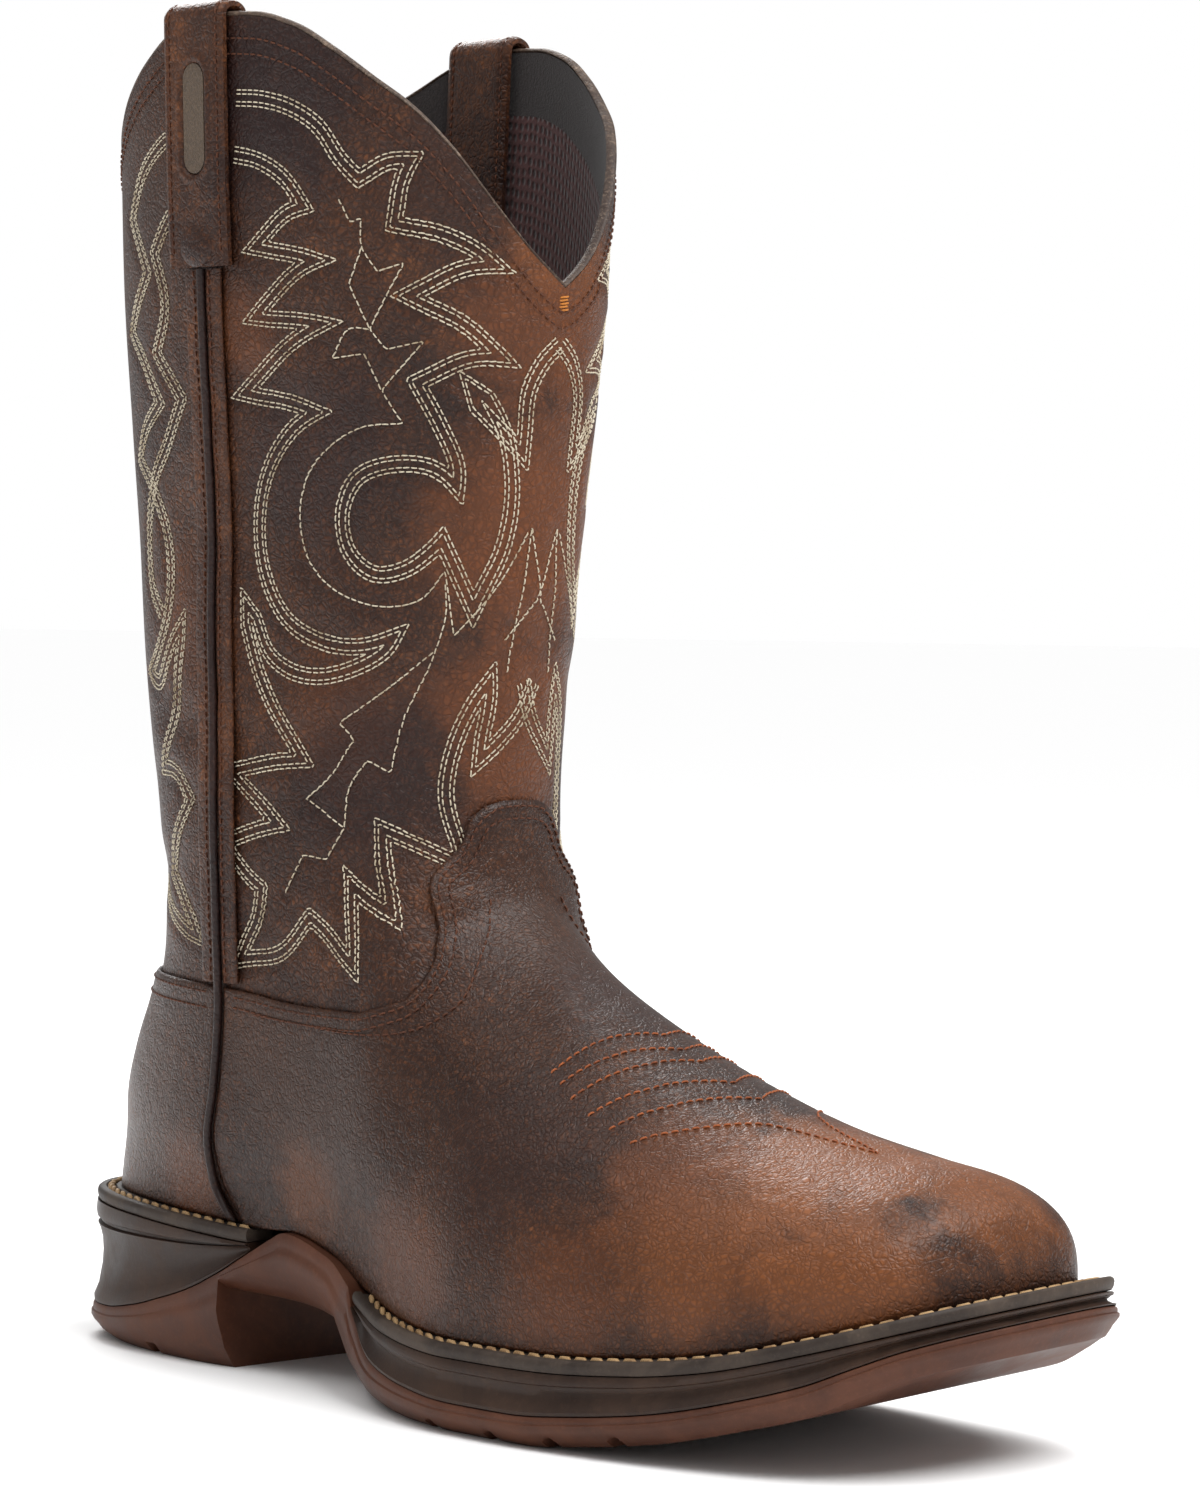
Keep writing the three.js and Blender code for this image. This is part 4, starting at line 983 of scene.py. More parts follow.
class Palette:
    """Every finish of the boot, built once."""

    def __init__(self, last: Last) -> None:
        """Builds the materials.

        Args:
            last: The form, which places the blots of colour.
        """
        grain, colour = grain_group(), pull_up_group()

        def blot(spot: Sequence[float], radius: float, tint: Colour, strength: float) -> Blot:
            """A patch of colour round a spot of the form, all in millimetres."""
            return Blot(tuple(float(v) for v in last.place(spot)), radius * MM, tint, strength)

        def leather(name: str, **look: object) -> bpy.types.Material:
            """A leather from the shared groups."""
            return LeatherFinish(name, **look).build(grain, colour)

        # The bright orange below is partly rubbed leather and partly painted highlight: on the
        # toe's top its patches stand in for the light falling there.
        rust, rub_orange_and_highlight, deep = (0.15, 0.046, 0.014), (0.23, 0.075, 0.022), (0.016, 0.007, 0.008)
        # The grey-brown below is painted sheen: its patches on the vamp's flanks, the instep and
        # the rear of the shaft stand in for a soft highlight.
        painted_sheen_grey, plum = (0.06, 0.03, 0.02), (0.03, 0.012, 0.009)
        shaft = ((20, 322, 42, deep, 0.75), (70, 300, 26, plum, 0.5), (88, 262, 24, rust, 0.75),
                 (96, 285, 16, rub_orange_and_highlight, 0.55), (96, 215, 34, rust, 0.8), (84, 165, 30, rust, 0.7),
                 (38, 165, 22, rust, 0.35), (30, 232, 30, deep, 0.6), (46, 150, 30, deep, 0.55),
                 (10, 262, 15, rust, 0.5), (-40, 300, 40, painted_sheen_grey, 0.4), (-50, 150, 40, deep, 0.4),
                 (75, 120, 20, rust, 0.4), (-18, 190, 26, rust, 0.3))
        flanks = ((120, 44, 70, 36, painted_sheen_grey, 0.5), (160, 50, 34, 26, rust, 0.5),
                  (215, 46, 36, 24, rust, 0.55), (190, 40, 60, 30, plum, 0.5),
                  (110, 42, 48, 16, rub_orange_and_highlight, 0.35), (40, 38, 70, 24, painted_sheen_grey, 0.5),
                  (60, 38, 46, 16, rust, 0.5), (92, 38, 88, 22, painted_sheen_grey, 0.4))
        crown = ((262, -10, 66, 34, rub_orange_and_highlight, 0.85), (285, 8, 56, 28, rub_orange_and_highlight, 0.8),
                 (250, -40, 50, 30, rub_orange_and_highlight, 0.6), (284, -32, 48, 28, rub_orange_and_highlight, 0.75),
                 (245, 24, 66, 26, rust, 0.45), (232, -30, 62, 24, rust, 0.5),
                 (150, 0, 112, 26, painted_sheen_grey, 0.45), (180, 4, 96, 26, plum, 0.5),
                 (10, 0, 70, 30, rust, 0.3))
        high = [blot(last.shaft_place(s, z, side), *rest)
                for side in Side for s, z, *rest in shaft]
        low = [blot((x, y * side.value, z), *rest) for side in Side for x, y, z, *rest in flanks]
        low += [blot((x, y, z), *rest) for x, y, z, *rest in crown]
        self.shaft = leather("shaft_leather", blots=tuple(high))
        self.vamp = leather("vamp_leather", dark=(0.026, 0.01, 0.006), mid=(0.07, 0.026, 0.012),
                            wear=0.3, cells=760.0, relief=0.00022, rough=(0.33, 0.52),
                            blots=tuple(low))
        self.strap = leather("strap_leather", wear=0.36, relief=0.00025, rough=(0.36, 0.55))
        self.piping = leather("trim_leather", dark=(0.012, 0.006, 0.006), mid=(0.03, 0.013, 0.01),
                              rub=(0.07, 0.028, 0.016), wear=0.1, relief=0.00012)
        self.edge = leather("binding", dark=(0.05, 0.03, 0.022), mid=(0.1, 0.065, 0.045),
                            rub=(0.3, 0.22, 0.16), wear=0.35, relief=0.0001, rough=(0.5, 0.75))
        self.lining = ClothFinish("lining_mesh", (0.02, 0.006, 0.006), (0.085, 0.024, 0.022),
                                  weave=620.0).build()
        self.felt = ClothFinish("collar_felt", (0.012, 0.008, 0.008), (0.03, 0.02, 0.018)).build()
        self.insole = ClothFinish("insole_cloth", (0.03, 0.02, 0.016), (0.09, 0.065, 0.05),
                                  weave=500.0).build()
        self.suede = ClothFinish("patch_suede", (0.06, 0.038, 0.022), (0.12, 0.078, 0.045)).build()
        self.outsole = RubberFinish("outsole_rubber", (0.06, 0.02, 0.01),
                                    (0.12, 0.045, 0.024), 0.5).build()
        self.midsole = RubberFinish("midsole_rubber", (0.022, 0.011, 0.007),
                                    (0.058, 0.031, 0.019), 0.48).build()
        self.welt = RubberFinish("welt_rubber", (0.026, 0.018, 0.014),
                                 (0.09, 0.066, 0.05), 0.6).build()
        self.white = ThreadFinish("white_thread", (0.62, 0.55, 0.42), (0.36, 0.28, 0.18)).build()
        self.brown = ThreadFinish("brown_thread", (0.1, 0.034, 0.016), (0.05, 0.018, 0.01)).build()
        self.rust = ThreadFinish("rust_thread", (0.34, 0.095, 0.03), (0.16, 0.045, 0.018)).build()
        self.rope = ThreadFinish("welt_rope", (0.42, 0.27, 0.13), (0.2, 0.11, 0.05),
                                 900.0).build()
        self.orange = ThreadFinish("orange_thread", (0.5, 0.18, 0.03), (0.3, 0.1, 0.03)).build()


Quarter = tuple[tuple[float, float], ...]


def chained(*runs: Quarter) -> tuple[Quarter, ...]:
    """Runs of a row, each but the first without its start, which is the last one's end."""
    whole = [runs[0]]
    for run in runs[1:]:
        whole.append((whole[-1][-1], *run))
    return tuple(whole)


# Rows of the shaft's traditional stitching on one quarter: mm round from the side line, and height.
# A row is a list of runs; a run with one step is straight, one with more is a smooth curve.
FRONT_OUTER = chained(
    ((9, 322), (19, 321), (29, 318), (37, 313), (43, 305), (47, 301)), ((54, 304.5), (64, 305)),
    ((60, 298), (58, 289)), ((68, 287), (77, 283), (86, 276)), ((74, 275), (63, 270)), ((73, 265),
    (80, 259), (86, 253)), ((74, 253), (62, 248)), ((66, 240), (70, 229), (69, 219)), ((62, 226),
    (52, 227), (43, 224), (39, 217), (40, 209), (46, 204), (53, 205), (59, 209), (64, 214)),
    ((71, 198),), ((77, 210), (80, 224), (79, 236), (75, 245)), ((84, 236),), ((86, 248),
    (91, 256), (97, 261)))
FRONT_INNER = chained(
    ((8, 308), (17, 306), (26, 301), (34, 291)), ((26, 289), (19, 284)), ((30, 282), (40, 279)),
    ((29, 275), (18, 267)), ((30, 266), (41, 264)), ((27, 258), (12, 248)), ((24, 246),
    (36, 242)), ((24, 236), (15, 225), (12, 213), (14, 202), (21, 192), (31, 187), (42, 186),
    (55, 190)), ((50, 182), (41, 177), (30, 174.5), (20, 176), (12, 181), (7, 190)), ((12, 178),
    (20, 166), (29, 154)), ((17, 153), (6, 151)), ((14, 145), (22, 138)), ((12, 136), (2, 133)),
    ((9, 127), (14, 124)), ((12, 115), (7, 107)), ((18, 109), (28, 119)), ((35, 115), (43, 109)),
    ((40, 120), (38, 130)), ((44, 125), (50, 121)), ((47, 132), (46, 142)), ((55, 138),
    (65, 133)), ((62, 148), (64, 160), (69, 171), (77, 181)), ((77, 172), (75, 161)), ((82, 168),
    (87, 177)))
FRONT_STARS = (
    chained(((41, 294), (44, 288)), ((47, 289),), ((47, 282), (51, 276)), ((58, 278),),
            ((53, 270), (48, 262)), ((52, 257),), ((62, 259),), ((55, 252), (50, 247)),
            ((55, 239),), ((44, 238), (34, 233), (27, 226), (24, 216), (26, 206), (33, 199),
            (42, 195), (50, 194), (58, 196), (64, 203)), ((66, 187),), ((76, 198), (86, 213)))
    + chained(((47, 282), (43, 273)), ((48, 262),))
    + chained(((50, 247), (46, 256)), ((37, 255),), ((42, 262), (48, 262)))
    + chained(((64, 200), (64, 192), (60, 180), (53, 166), (50, 153)), ((44, 156),), ((39, 149),
              (38, 139)), ((27, 146),), ((34, 152), (40, 161)), ((36, 165),), ((48, 173),
              (61, 183)))
    + chained(((38, 139), (33, 131)), ((26, 132),), ((20, 122),)))
CENTRE_FLAMES = chained(
    ((80, 178), (84, 198), (87, 214)), ((90, 196),), ((97, 186),))
BACK_OUTER = chained(
    ((-9, 316), (-22, 313), (-36, 305), (-46, 293)), ((-40, 285), (-36, 279)), ((-44, 272),
    (-52, 264)), ((-42, 256), (-34, 246)), ((-44, 240), (-52, 231)), ((-42, 224), (-33, 212),
    (-31, 198), (-38, 184), (-50, 176)), ((-36, 172), (-25, 184)), ((-28, 168), (-38, 150)),
    ((-26, 149), (-20, 144)), ((-28, 134), (-34, 124)), ((-26, 119), (-19, 112)), ((-32, 117),
    (-42, 124)))
BACK_INNER = chained(
    ((-9, 298), (-20, 294), (-31, 284)), ((-26, 270), (-33, 258)), ((-22, 246),), ((-30, 236),
    (-40, 226), (-46, 212), (-44, 198), (-36, 190)))


def row_points(runs: Sequence[Quarter], spacing: float = 1.2) -> np.ndarray:
    """Joins the runs of a row into one flat polyline."""
    parts = []
    for run in runs:
        points = np.array(run, float)
        count = max(int(len_of(points) / spacing), 2)
        line = smooth_line(points, count)
        parts.append(line if not parts else line[1:])
    return np.vstack(parts)


@dataclass
class Upper:
    """Shaft, lining, vamp, counter, collar edge, seam strips, piping and their stitching."""

    last: Last
    palette: Palette
    rows: int = 170
    strip_width: float = 5.6
    piping_radius: float = 1.1
    strap_drop: float = 62
    edge_round: float = 1.6
    edge_drop: float = 0.55
    probe: float = 0.5

    def __post_init__(self) -> None:
        """Works out the rings that every skin of the upper is laid on."""
        self.u = np.concatenate([np.linspace(0, 1, 34, endpoint=False),
                                 np.linspace(1, 2, 90, endpoint=False), np.linspace(2, 3, 44)])
        self.points = self.last.ring(np.linspace(0, 1, self.rows), self.u)
        self.columns = self.points.shape[1]
        self.soften()
        self.crease()

    def seam_x(self, z: np.ndarray | float) -> np.ndarray:
        """Place of the side seam at height z."""
        last = self.last
        return last.side_x + last.shaft_width * last.seam_shift(np.asarray(z) / last.shaft_height)

    def side_point(self, x: np.ndarray, z: np.ndarray, side: Side,
                   offset: np.ndarray | float) -> np.ndarray:
        """Points of the boot's side moved outwards by an offset."""
        half = self.last.half_width(x, z, side)
        slope_x = (self.last.half_width(x + self.probe, z, side) - half) / self.probe
        slope_z = (self.last.half_width(x, z + self.probe, side) - half) / self.probe
        normal = np.stack([-slope_x, np.ones_like(half), -slope_z], axis=-1)
        normal /= np.linalg.norm(normal, axis=-1, keepdims=True)
        point = np.stack([x, half, z], axis=-1) + normal * np.asarray(offset)[..., None]
        point[..., 1] *= side.value
        return point

    def soften(self) -> None:
        """Spaces the columns evenly and rounds the instep's ridge and flank."""
        half = self.columns // 2
        closed = np.concatenate([self.points, self.points[:, :1]], axis=1)
        for j in range(self.rows):
            front = resample(closed[j, : half + 1], half + 1)
            back = resample(closed[j, half:], self.columns - half + 1)
            self.points[j] = np.vstack([front, back[1:-1]])
        x, y, z = (self.points[..., k] for k in range(3))
        low = 1 - ease((z - 150) / 30)
        ridge = np.exp(-((y / 26) ** 2)) * ease((x - 105) / 20) * (1 - ease((x - 195) / 45))
        flank = np.exp(-(((x - 135) / 26) ** 2))
        share = (low * np.clip(ridge + flank, 0, 1))[..., None]
        share[:4] = 0
        for _ in range(26):
            around = (np.roll(self.points, 1, axis=1) + np.roll(self.points, -1, axis=1)) / 2
            self.points = mix(self.points, around, share * 0.6)
            upright = (self.points[:-2] + self.points[2:]) / 2
            self.points[1:-1] = mix(self.points[1:-1], upright, share[1:-1] * 0.4)
        around = np.roll(self.points, -1, axis=1) - np.roll(self.points, 1, axis=1)
        normals = np.cross(around, np.gradient(self.points, axis=0))
        normals[[0, -1], :, 2] = 0
        self.normals = normals / np.maximum(np.linalg.norm(normals, axis=-1, keepdims=True), 1e-9)

    def crease(self) -> None:
        """Lays soft troughs and ridges where the leather has settled at the ankle."""
        folds = [((-30, 168), (-5, 160), (20, 158), (46, 166), 0.9, 7.0),
                 ((-40, 150), (-12, 146), (16, 144), (40, 150), 0.7, 6.0),
                 ((30, 186), (52, 176), (74, 180), (90, 190), 0.7, 7.0),
                 ((-60, 132), (-40, 126), (-20, 128), (-8, 134), 0.8, 6.0),
                 ((44, 128), (58, 118), (72, 116), (84, 122), 0.7, 5.0),
                 ((14, 250), (26, 238), (30, 224), (26, 206), 0.5, 9.0),
                 ((-14, 262), (-24, 244), (-22, 224), (-12, 208), 0.6, 9.0),
                 ((58, 300), (74, 280), (84, 250), (88, 230), 0.5, 10.0)]
        for side in Side:
            for a, b, c, d, depth, width in folds:
                line = smooth_line(np.array([a, b, c, d], float), 16)
                row = np.array([self.last.shaft_place(s, z, side) for s, z in line])
                self.sink(row, depth * 0.8, width)
                ridge = row + np.array([0, 0, width * 1.3])
                self.sink(ridge, -depth * 0.5, width)

    def sink(self, row: np.ndarray, depth: float, width: float) -> None:
        """Sinks or, with a negative depth, raises the surface softly along a row."""
        gap = np.min([np.sum((self.points - spot) ** 2, axis=-1) for spot in row], axis=0)
        fall = np.exp(-gap / width**2)
        self.points = self.points - self.normals * (depth * fall)[..., None]

    def sample(self, columns: np.ndarray, rows: np.ndarray, grid: np.ndarray) -> np.ndarray:
        """Values of a ring grid at fractional columns and rows."""
        j = np.clip(np.floor(rows).astype(int), 0, self.rows - 2)
        i = np.floor(columns).astype(int)
        v, w = (rows - j)[..., None], (columns - i)[..., None]
        a, b = i % self.columns, (i + 1) % self.columns
        return ((grid[j, a] * (1 - w) + grid[j, b] * w) * (1 - v)
                + (grid[j + 1, a] * (1 - w) + grid[j + 1, b] * w) * v)

    def locate(self, axes: tuple[int, int], targets: np.ndarray, side: Side) -> np.ndarray:
        """Columns and rows where two coordinates of the surface take given values.

        Args:
            axes: Which two coordinates are given.
            targets: The wanted values, a pair for each place.
            side: The side of the boot that is searched.

        Returns:
            Fractional column and row of each place.
        """
        middle = self.columns // 2
        low, high = (0, middle + 1) if side is Side.LATERAL else (middle, self.columns)
        field = self.points[:, low:high]
        front = field[..., 0] > self.last.side_x + (28 if axes[0] == 1 else -200)
        found = []
        for target in targets:
            gap = np.sum((field[..., list(axes)] - target) ** 2, axis=-1)
            row, column = np.unravel_index(np.argmin(np.where(front, gap, 1e9)), gap.shape)
            spot = np.array([column + low, row], float)
            for _ in range(8):
                here = self.sample(spot[:1], spot[1:], self.points)[0][list(axes)]
                side_on = self.sample(spot[:1] + 0.5, spot[1:], self.points)[0][list(axes)]
                above = self.sample(spot[:1], spot[1:] + 0.5, self.points)[0][list(axes)]
                slope = np.stack([(side_on - here) * 2, (above - here) * 2], axis=1)
                step, *_ = np.linalg.lstsq(slope, target - here, rcond=None)
                spot += np.clip(step, -1.5, 1.5)
                spot[1] = np.clip(spot[1], 0, self.rows - 2)
                spot[0] = np.clip(spot[0], low, high - 1)
            found.append(spot)
        return np.array(found)

    def edge_path(self) -> tuple[np.ndarray, float]:
        """The upper edge of the vamp in columns and rows, lateral seam to medial seam."""
        last = self.last
        top = last.instep_height * float(Track(last.side_edge)(last.side_x / last.sole_length))
        parts = []
        for side in Side:
            xs = np.linspace(float(self.seam_x(top)) + 1.4, last.side_edge[-1][0]
                             * last.sole_length, 6)
            zs = last.instep_height * Track(last.side_edge)(xs / last.sole_length)
            flank = self.locate((0, 2), np.stack([xs, zs], axis=1), side)
            tongue = np.array([(side.value * y * last.shaft_width, z * last.instep_height)
                               for y, z in last.tongue_edge])
            crest = self.locate((1, 2), tongue, side)
            parts.append(np.vstack([flank, crest[1:-1]]))
        tip = self.locate((1, 2), np.array([(0.0, last.tongue_edge[-1][1]
                                             * last.instep_height)]), Side.LATERAL)
        return np.vstack([parts[0], tip, parts[1][::-1]]), top

    def skin(self, edge: np.ndarray, low: np.ndarray, start: np.ndarray, end: np.ndarray,
             steps: tuple[int, int]) -> tuple[np.ndarray, np.ndarray]:
        """A patch of the surface between four border paths.

        Args:
            edge: Upper border in columns and rows.
            low: Lower border.
            start: Border from low to edge where the patch starts.
            end: Border from low to edge where it ends.
            steps: How many places along the borders and up between them.

        Returns:
            Columns and rows of the patch's places, each steps up by steps along.
        """
        scale = np.array([2.0, 2.2])
        along, up = steps
        e = smooth_line(edge * scale, along)[None] / scale
        f = smooth_line(low * scale, along)[None] / scale
        a = smooth_line(start * scale, up)[:, None] / scale
        b = smooth_line(end * scale, up)[:, None] / scale
        s = np.linspace(0, 1, along)[None, :, None]
        t = np.linspace(0, 1, up)[:, None, None]
        corners = ((1 - s) * (1 - t) * f[:, :1] + s * (1 - t) * f[:, -1:]
                   + (1 - s) * t * e[:, :1] + s * t * e[:, -1:])
        spots = (1 - t) * f + t * e + (1 - s) * a + s * b - corners
        return spots[..., 0], np.clip(spots[..., 1], 0, self.rows - 1)

    def apron(self, edge: np.ndarray, start: np.ndarray, end: np.ndarray,
              steps: tuple[int, int]) -> tuple[np.ndarray, np.ndarray]:
        """A patch whose lines all run straight up the surface's own columns.

        Args:
            edge: Upper border in columns and rows.
            start: Border from low to edge where the patch starts.
            end: Border from low to edge where it ends.
            steps: How many places along the borders and up between them.

        Returns:
            Columns and rows of the patch's places, each steps up by steps along.
        """
        along, up = steps
        tip = int(np.argmax(edge[:, 1]))
        ahead = edge.copy()
        ahead[: tip + 1, 0] = np.maximum.accumulate(edge[: tip + 1, 0])
        ahead[tip:, 0] = np.minimum.accumulate(edge[tip:, 0][::-1])[::-1]
        rim = resample(ahead, along)
        even_out(rim, 3)
        t = np.linspace(0, 1, up)[:, None]
        share = (rim[:, 0] - rim[0, 0]) / (rim[-1, 0] - rim[0, 0])
        rows = t * rim[None, :, 1]
        low = np.interp(t[:, 0] * rim[0, 1], start[:, 1], start[:, 0])[:, None]
        high = np.interp(t[:, 0] * rim[-1, 1], end[:, 1], end[:, 0])[:, None]
        return mix(low, high, share[None]), rows

    def seam_path(self, top: float, gap: float, side: Side) -> np.ndarray:
        """The side seam in columns and rows, from the lower edge up."""
        low = float(self.last.seat(self.seam_x(self.last.heel_height))) + 1.0
        zs = np.linspace(low, top, 14)
        path = self.locate((0, 2), np.stack([self.seam_x(zs) + gap, zs], axis=1), side)
        path[0, 1] = 0
        return path

    def overlay(self, name: str, node: str, spots: tuple[np.ndarray, np.ndarray],
                rows: Sequence[np.ndarray]) -> bpy.types.Object:
        """A skin over the upper with rounded edges.

        Args:
            name: The piece's name.
            node: The CAD node that it stands for.
            spots: Columns and rows of its places.
            rows: Rows of thread that dent it, in metres.

        Returns:
            The piece.
        """
        base = self.sample(*spots, self.points)
        normals = self.sample(*spots, self.normals)
        normals /= np.linalg.norm(normals, axis=-1, keepdims=True)
        up, along = base.shape[:2]
        top = np.linalg.norm(base - base[-1:], axis=-1)
        ends = np.minimum(np.linalg.norm(base - base[:, :1], axis=-1),
                          np.linalg.norm(base - base[:, -1:], axis=-1))
        rim = np.clip(np.minimum(top, ends) / self.edge_round, 0, 1)
        full = self.last.fit + self.last.overlay
        offset = full - self.edge_drop * (1 - np.sqrt(1 - (1 - rim) ** 2))
        places = self.last.place(base + normals * offset[..., None])
        places = dig(places, normals, rows, 0.00045, 0.0013)
        obj = finished(name, draped_grid(places), [self.palette.vamp], sharp=60)
        if obj.data.polygons[len(obj.data.polygons) // 2].normal.dot(
                Vector(normals[up // 2, along // 2])) < 0:
            obj.data.flip_normals()
        thick = obj.modifiers.new("thickness", "SOLIDIFY")
        thick.thickness, thick.offset = 0.0011, -1.0
        return hand_over(obj, "vamp_leather", node)

    def build_overlays(self) -> None:
        """Makes the vamp and the counter with their edge rows and the toe's wrinkle rows."""
        slot, brown = "vamp_leather", Thread(2.3, 1.7, 0.26, lift=0.3)
        edge, top = self.edge_path()
        start = self.seam_path(top, 1.4, Side.LATERAL)
        end = self.seam_path(top, 1.4, Side.MEDIAL)
        edge = np.vstack([start[-1:], edge[1:-1], end[-1:]])
        spots = self.apron(edge, start, end, (370, 118))
        inner = self.rows_inside(spots, (1.9, 4.6))
        toe = self.toe_rows(self.last.place(self.sample(*spots, self.points)))
        surface = Surface(self.overlay("vamp_skin", "vamp", spots, inner + toe))
        self.sewn("vamp_edge_stitches", inner, surface, brown, self.palette.brown, slot)
        self.sewn("toe_stitches", toe, surface, Thread(2.4, 1.8, 0.27, lift=0.3),
                  self.palette.rust, slot)
        self.sewn("tongue_stitches", self.tongue_row(), surface, brown, self.palette.brown, slot)
        start = self.seam_path(top, -1.4, Side.MEDIAL) - np.array([self.columns, 0])
        end = self.seam_path(top, -1.4, Side.LATERAL)
        crown = []
        for column in np.linspace(end[-1, 0], start[-1, 0], 60)[::-1]:
            line = self.sample(np.full(self.rows, column), np.arange(self.rows, dtype=float),
                               self.points)
            place = self.last.instep_height * Track(self.last.side_edge)(
                line[:, 0] / self.last.sole_length)
            crown.append((column, np.interp(0, line[:, 2] - place, np.arange(self.rows))))
        low = np.stack([np.linspace(start[0, 0], end[0, 0], 40), np.zeros(40)], axis=1)
        spots = self.skin(np.array(crown), low, start, end, (150, 60))
        inner = self.rows_inside(spots, (1.9, 5.8))
        surface = Surface(self.overlay("counter_skin", "counter", spots, inner))
        self.sewn("counter_stitches", inner, surface, brown, self.palette.brown, slot)

    def rows_inside(self, spots: tuple[np.ndarray, np.ndarray],
                    gaps: Sequence[float]) -> list[np.ndarray]:
        """Rows of thread inside the upper border of a patch, each at its gap in mm."""
        edge = self.last.place(self.sample(*spots, self.points)[-1])
        out = self.sample(*spots, self.normals)[-1]
        even_out(edge, 5)
        even_out(out, 5)
        toward = np.cross(out, np.gradient(edge, axis=0))
        toward /= np.linalg.norm(toward, axis=1, keepdims=True)
        rows = [(edge - toward * math.copysign(gap * MM, toward[8, 2]))[4:-4] for gap in gaps]
        for row in rows:
            even_out(row, 8)
        return rows

    def toe_rows(self, places: np.ndarray) -> list[np.ndarray]:
        """The wrinkle rows across the vamp: five arcs, and a point towards the toe."""
        arcs = [((188, 30), (191, 14), (195, 0)), ((192, 31), (197, 15), (202, 0)),
                ((197, 32), (203, 15), (208, 0)), ((204, 33), (212, 16), (219, 0)),
                ((211, 33), (220, 17), (228, 0)), ((218, 33), (230, 20), (240, 8), (266, 0))]
        flat = places.reshape(-1, 3) / MM - self.last.shift
        rows = []
        for arc in arcs:
            half = smooth_line(np.array(arc, float), 30)
            near = half * np.array([1, -1.0])
            whole = np.vstack([near, half[-2::-1] * np.array([1, 0.92])])
            line = []
            for x, y in whole:
                gap = (flat[:, 0] - x) ** 2 + (flat[:, 1] - y) ** 2 + (flat[:, 2] < 45) * 900
                line.append(flat[np.argmin(gap)])
            line = np.array(line)
            line[:, :2] = whole
            even_out(line[:, 2], 3)
            rows.append(self.last.place(line))
        return rows

    def tongue_row(self) -> list[np.ndarray]:
        """The second row below the edge rows, up each flank of the tongue."""
        outline = ((90, 40, 91), (106, 42, 90), (138.6, 40.9, 89.5), (149.8, 34.6, 92.5),
                   (155.5, 30, 98.8), (154.2, 23, 108), (151.8, 17, 116.4), (149.8, 13, 124))
        return [self.last.place(smooth_line(np.array(outline) * np.array([1, side.value, 1]), 90))
                for side in Side]

    def sewn(self, name: str, rows: Iterable[np.ndarray], surface: Surface, thread: Thread,
             mat: bpy.types.Material, slot: str) -> None:
        """Sews rows on a surface and hands the piece over."""
        hand_over(thread.sew(name, rows, surface, mat), slot)

    def pattern(self, side: Side) -> dict[str, list[np.ndarray]]:
        """The shaft's rows of white thread on one side, by quarter, in metres."""
        def lay(flat: np.ndarray) -> np.ndarray:
            """A flat polyline laid round the shaft."""
            return self.last.place(np.array([self.last.shaft_place(s, z, side)
                                             for s, z in resample(flat, int(len_of(flat)))]))

        rows: dict[str, list[np.ndarray]] = {"front": [], "back": []}
        for key, runs, gap in (("front", FRONT_OUTER, -2.9), ("front", FRONT_INNER, -2.9),
                               ("back", BACK_OUTER, 2.9), ("back", BACK_INNER, 2.9)):
            lines = [row_points([run]) for run in runs]
            way = math.copysign(1.0, gap)
            rows[key].append(lay(np.vstack(lines)))
            rows[key] += [lay(offset_runs(lines, shift)) for shift in (way, gap, gap + way)]
        for runs in (FRONT_STARS, CENTRE_FLAMES):
            line: list[Quarter] = []
            for run in runs:
                if line and line[-1][-1] != run[0]:
                    rows["front"].append(lay(row_points(line)))
                    line = []
                line.append(run)
            rows["front"].append(lay(row_points(line)))
        return rows

    def build_shaft(self) -> None:
        """Makes the shaft with its lining, and sews the white pattern on it."""
        patterns = {side: self.pattern(side) for side in Side}
        threads = [row for rows in patterns.values() for kind in rows.values() for row in kind]
        outer = dig(self.last.place(self.points), self.normals, threads, 0.00055, 0.0016)
        wall = self.last.wall * MM
        shares = np.linspace(self.rows - 1, 0, 60)
        columns = np.arange(self.columns, dtype=float)
        grid = np.broadcast_to(columns, (60, self.columns))
        index = np.broadcast_to(shares[:, None], (60, self.columns))
        inner = self.last.place(self.sample(grid, index, self.points))
        inner = inner - self.sample(grid, index, self.normals) * wall
        points = np.vstack([outer, inner])
        bm = draped_grid(points, wrap_rows=True, wrap_columns=True, size=(0.33, 0.8))
        bmesh.ops.recalc_face_normals(bm, faces=bm.faces)
        tree = search_tree(inner.reshape(-1, 3))
        for face in bm.faces:
            _, index_found, gap = tree.find(face.verts[0].co)
            if gap < 1e-5:
                face.material_index = 2 if index_found // self.columns < 3 else 1
        shaft = finished("shaft", bm, [self.palette.shaft, self.palette.lining,
                                       self.palette.felt], sharp=50)
        surface = Surface(hand_over(shaft, "shaft_leather", "upper"))
        white = Thread(2.0, 1.65, 0.2, lift=0.25)
        for side, rows in patterns.items():
            for quarter, lines in rows.items():
                self.sewn(f"{quarter}_pattern_{side.label}", lines, surface, white,
                          self.palette.white, "shaft_leather")
        rim = [self.last.place(self.points[row]) for row in (-4, -6)]
        closed = [np.vstack([line, line[:1]]) for line in rim]
        self.sewn("collar_stitches", closed, surface, Thread(2.3, 1.7, 0.24, lift=0.28),
                  self.palette.brown, "shaft_leather")
        front = self.last.shaft_front
        low = self.last.shaft_height * self.last.collar_rows[-1][1]
        bars = [self.last.place(np.array([[front + 0.6, y, low - 2.5 - k],
                                          [front + 0.6, y + 3.2, low - 2.0 - k]]))
                for k, y in ((0, -1.6), (0.8, -1.8), (1.6, -1.5), (2.4, -1.7), (3.2, -1.4))]
        self.sewn("collar_bar", bars, surface, Thread(3.2, 3.1, 0.3, lift=0.3),
                  self.palette.orange, "shaft_leather")

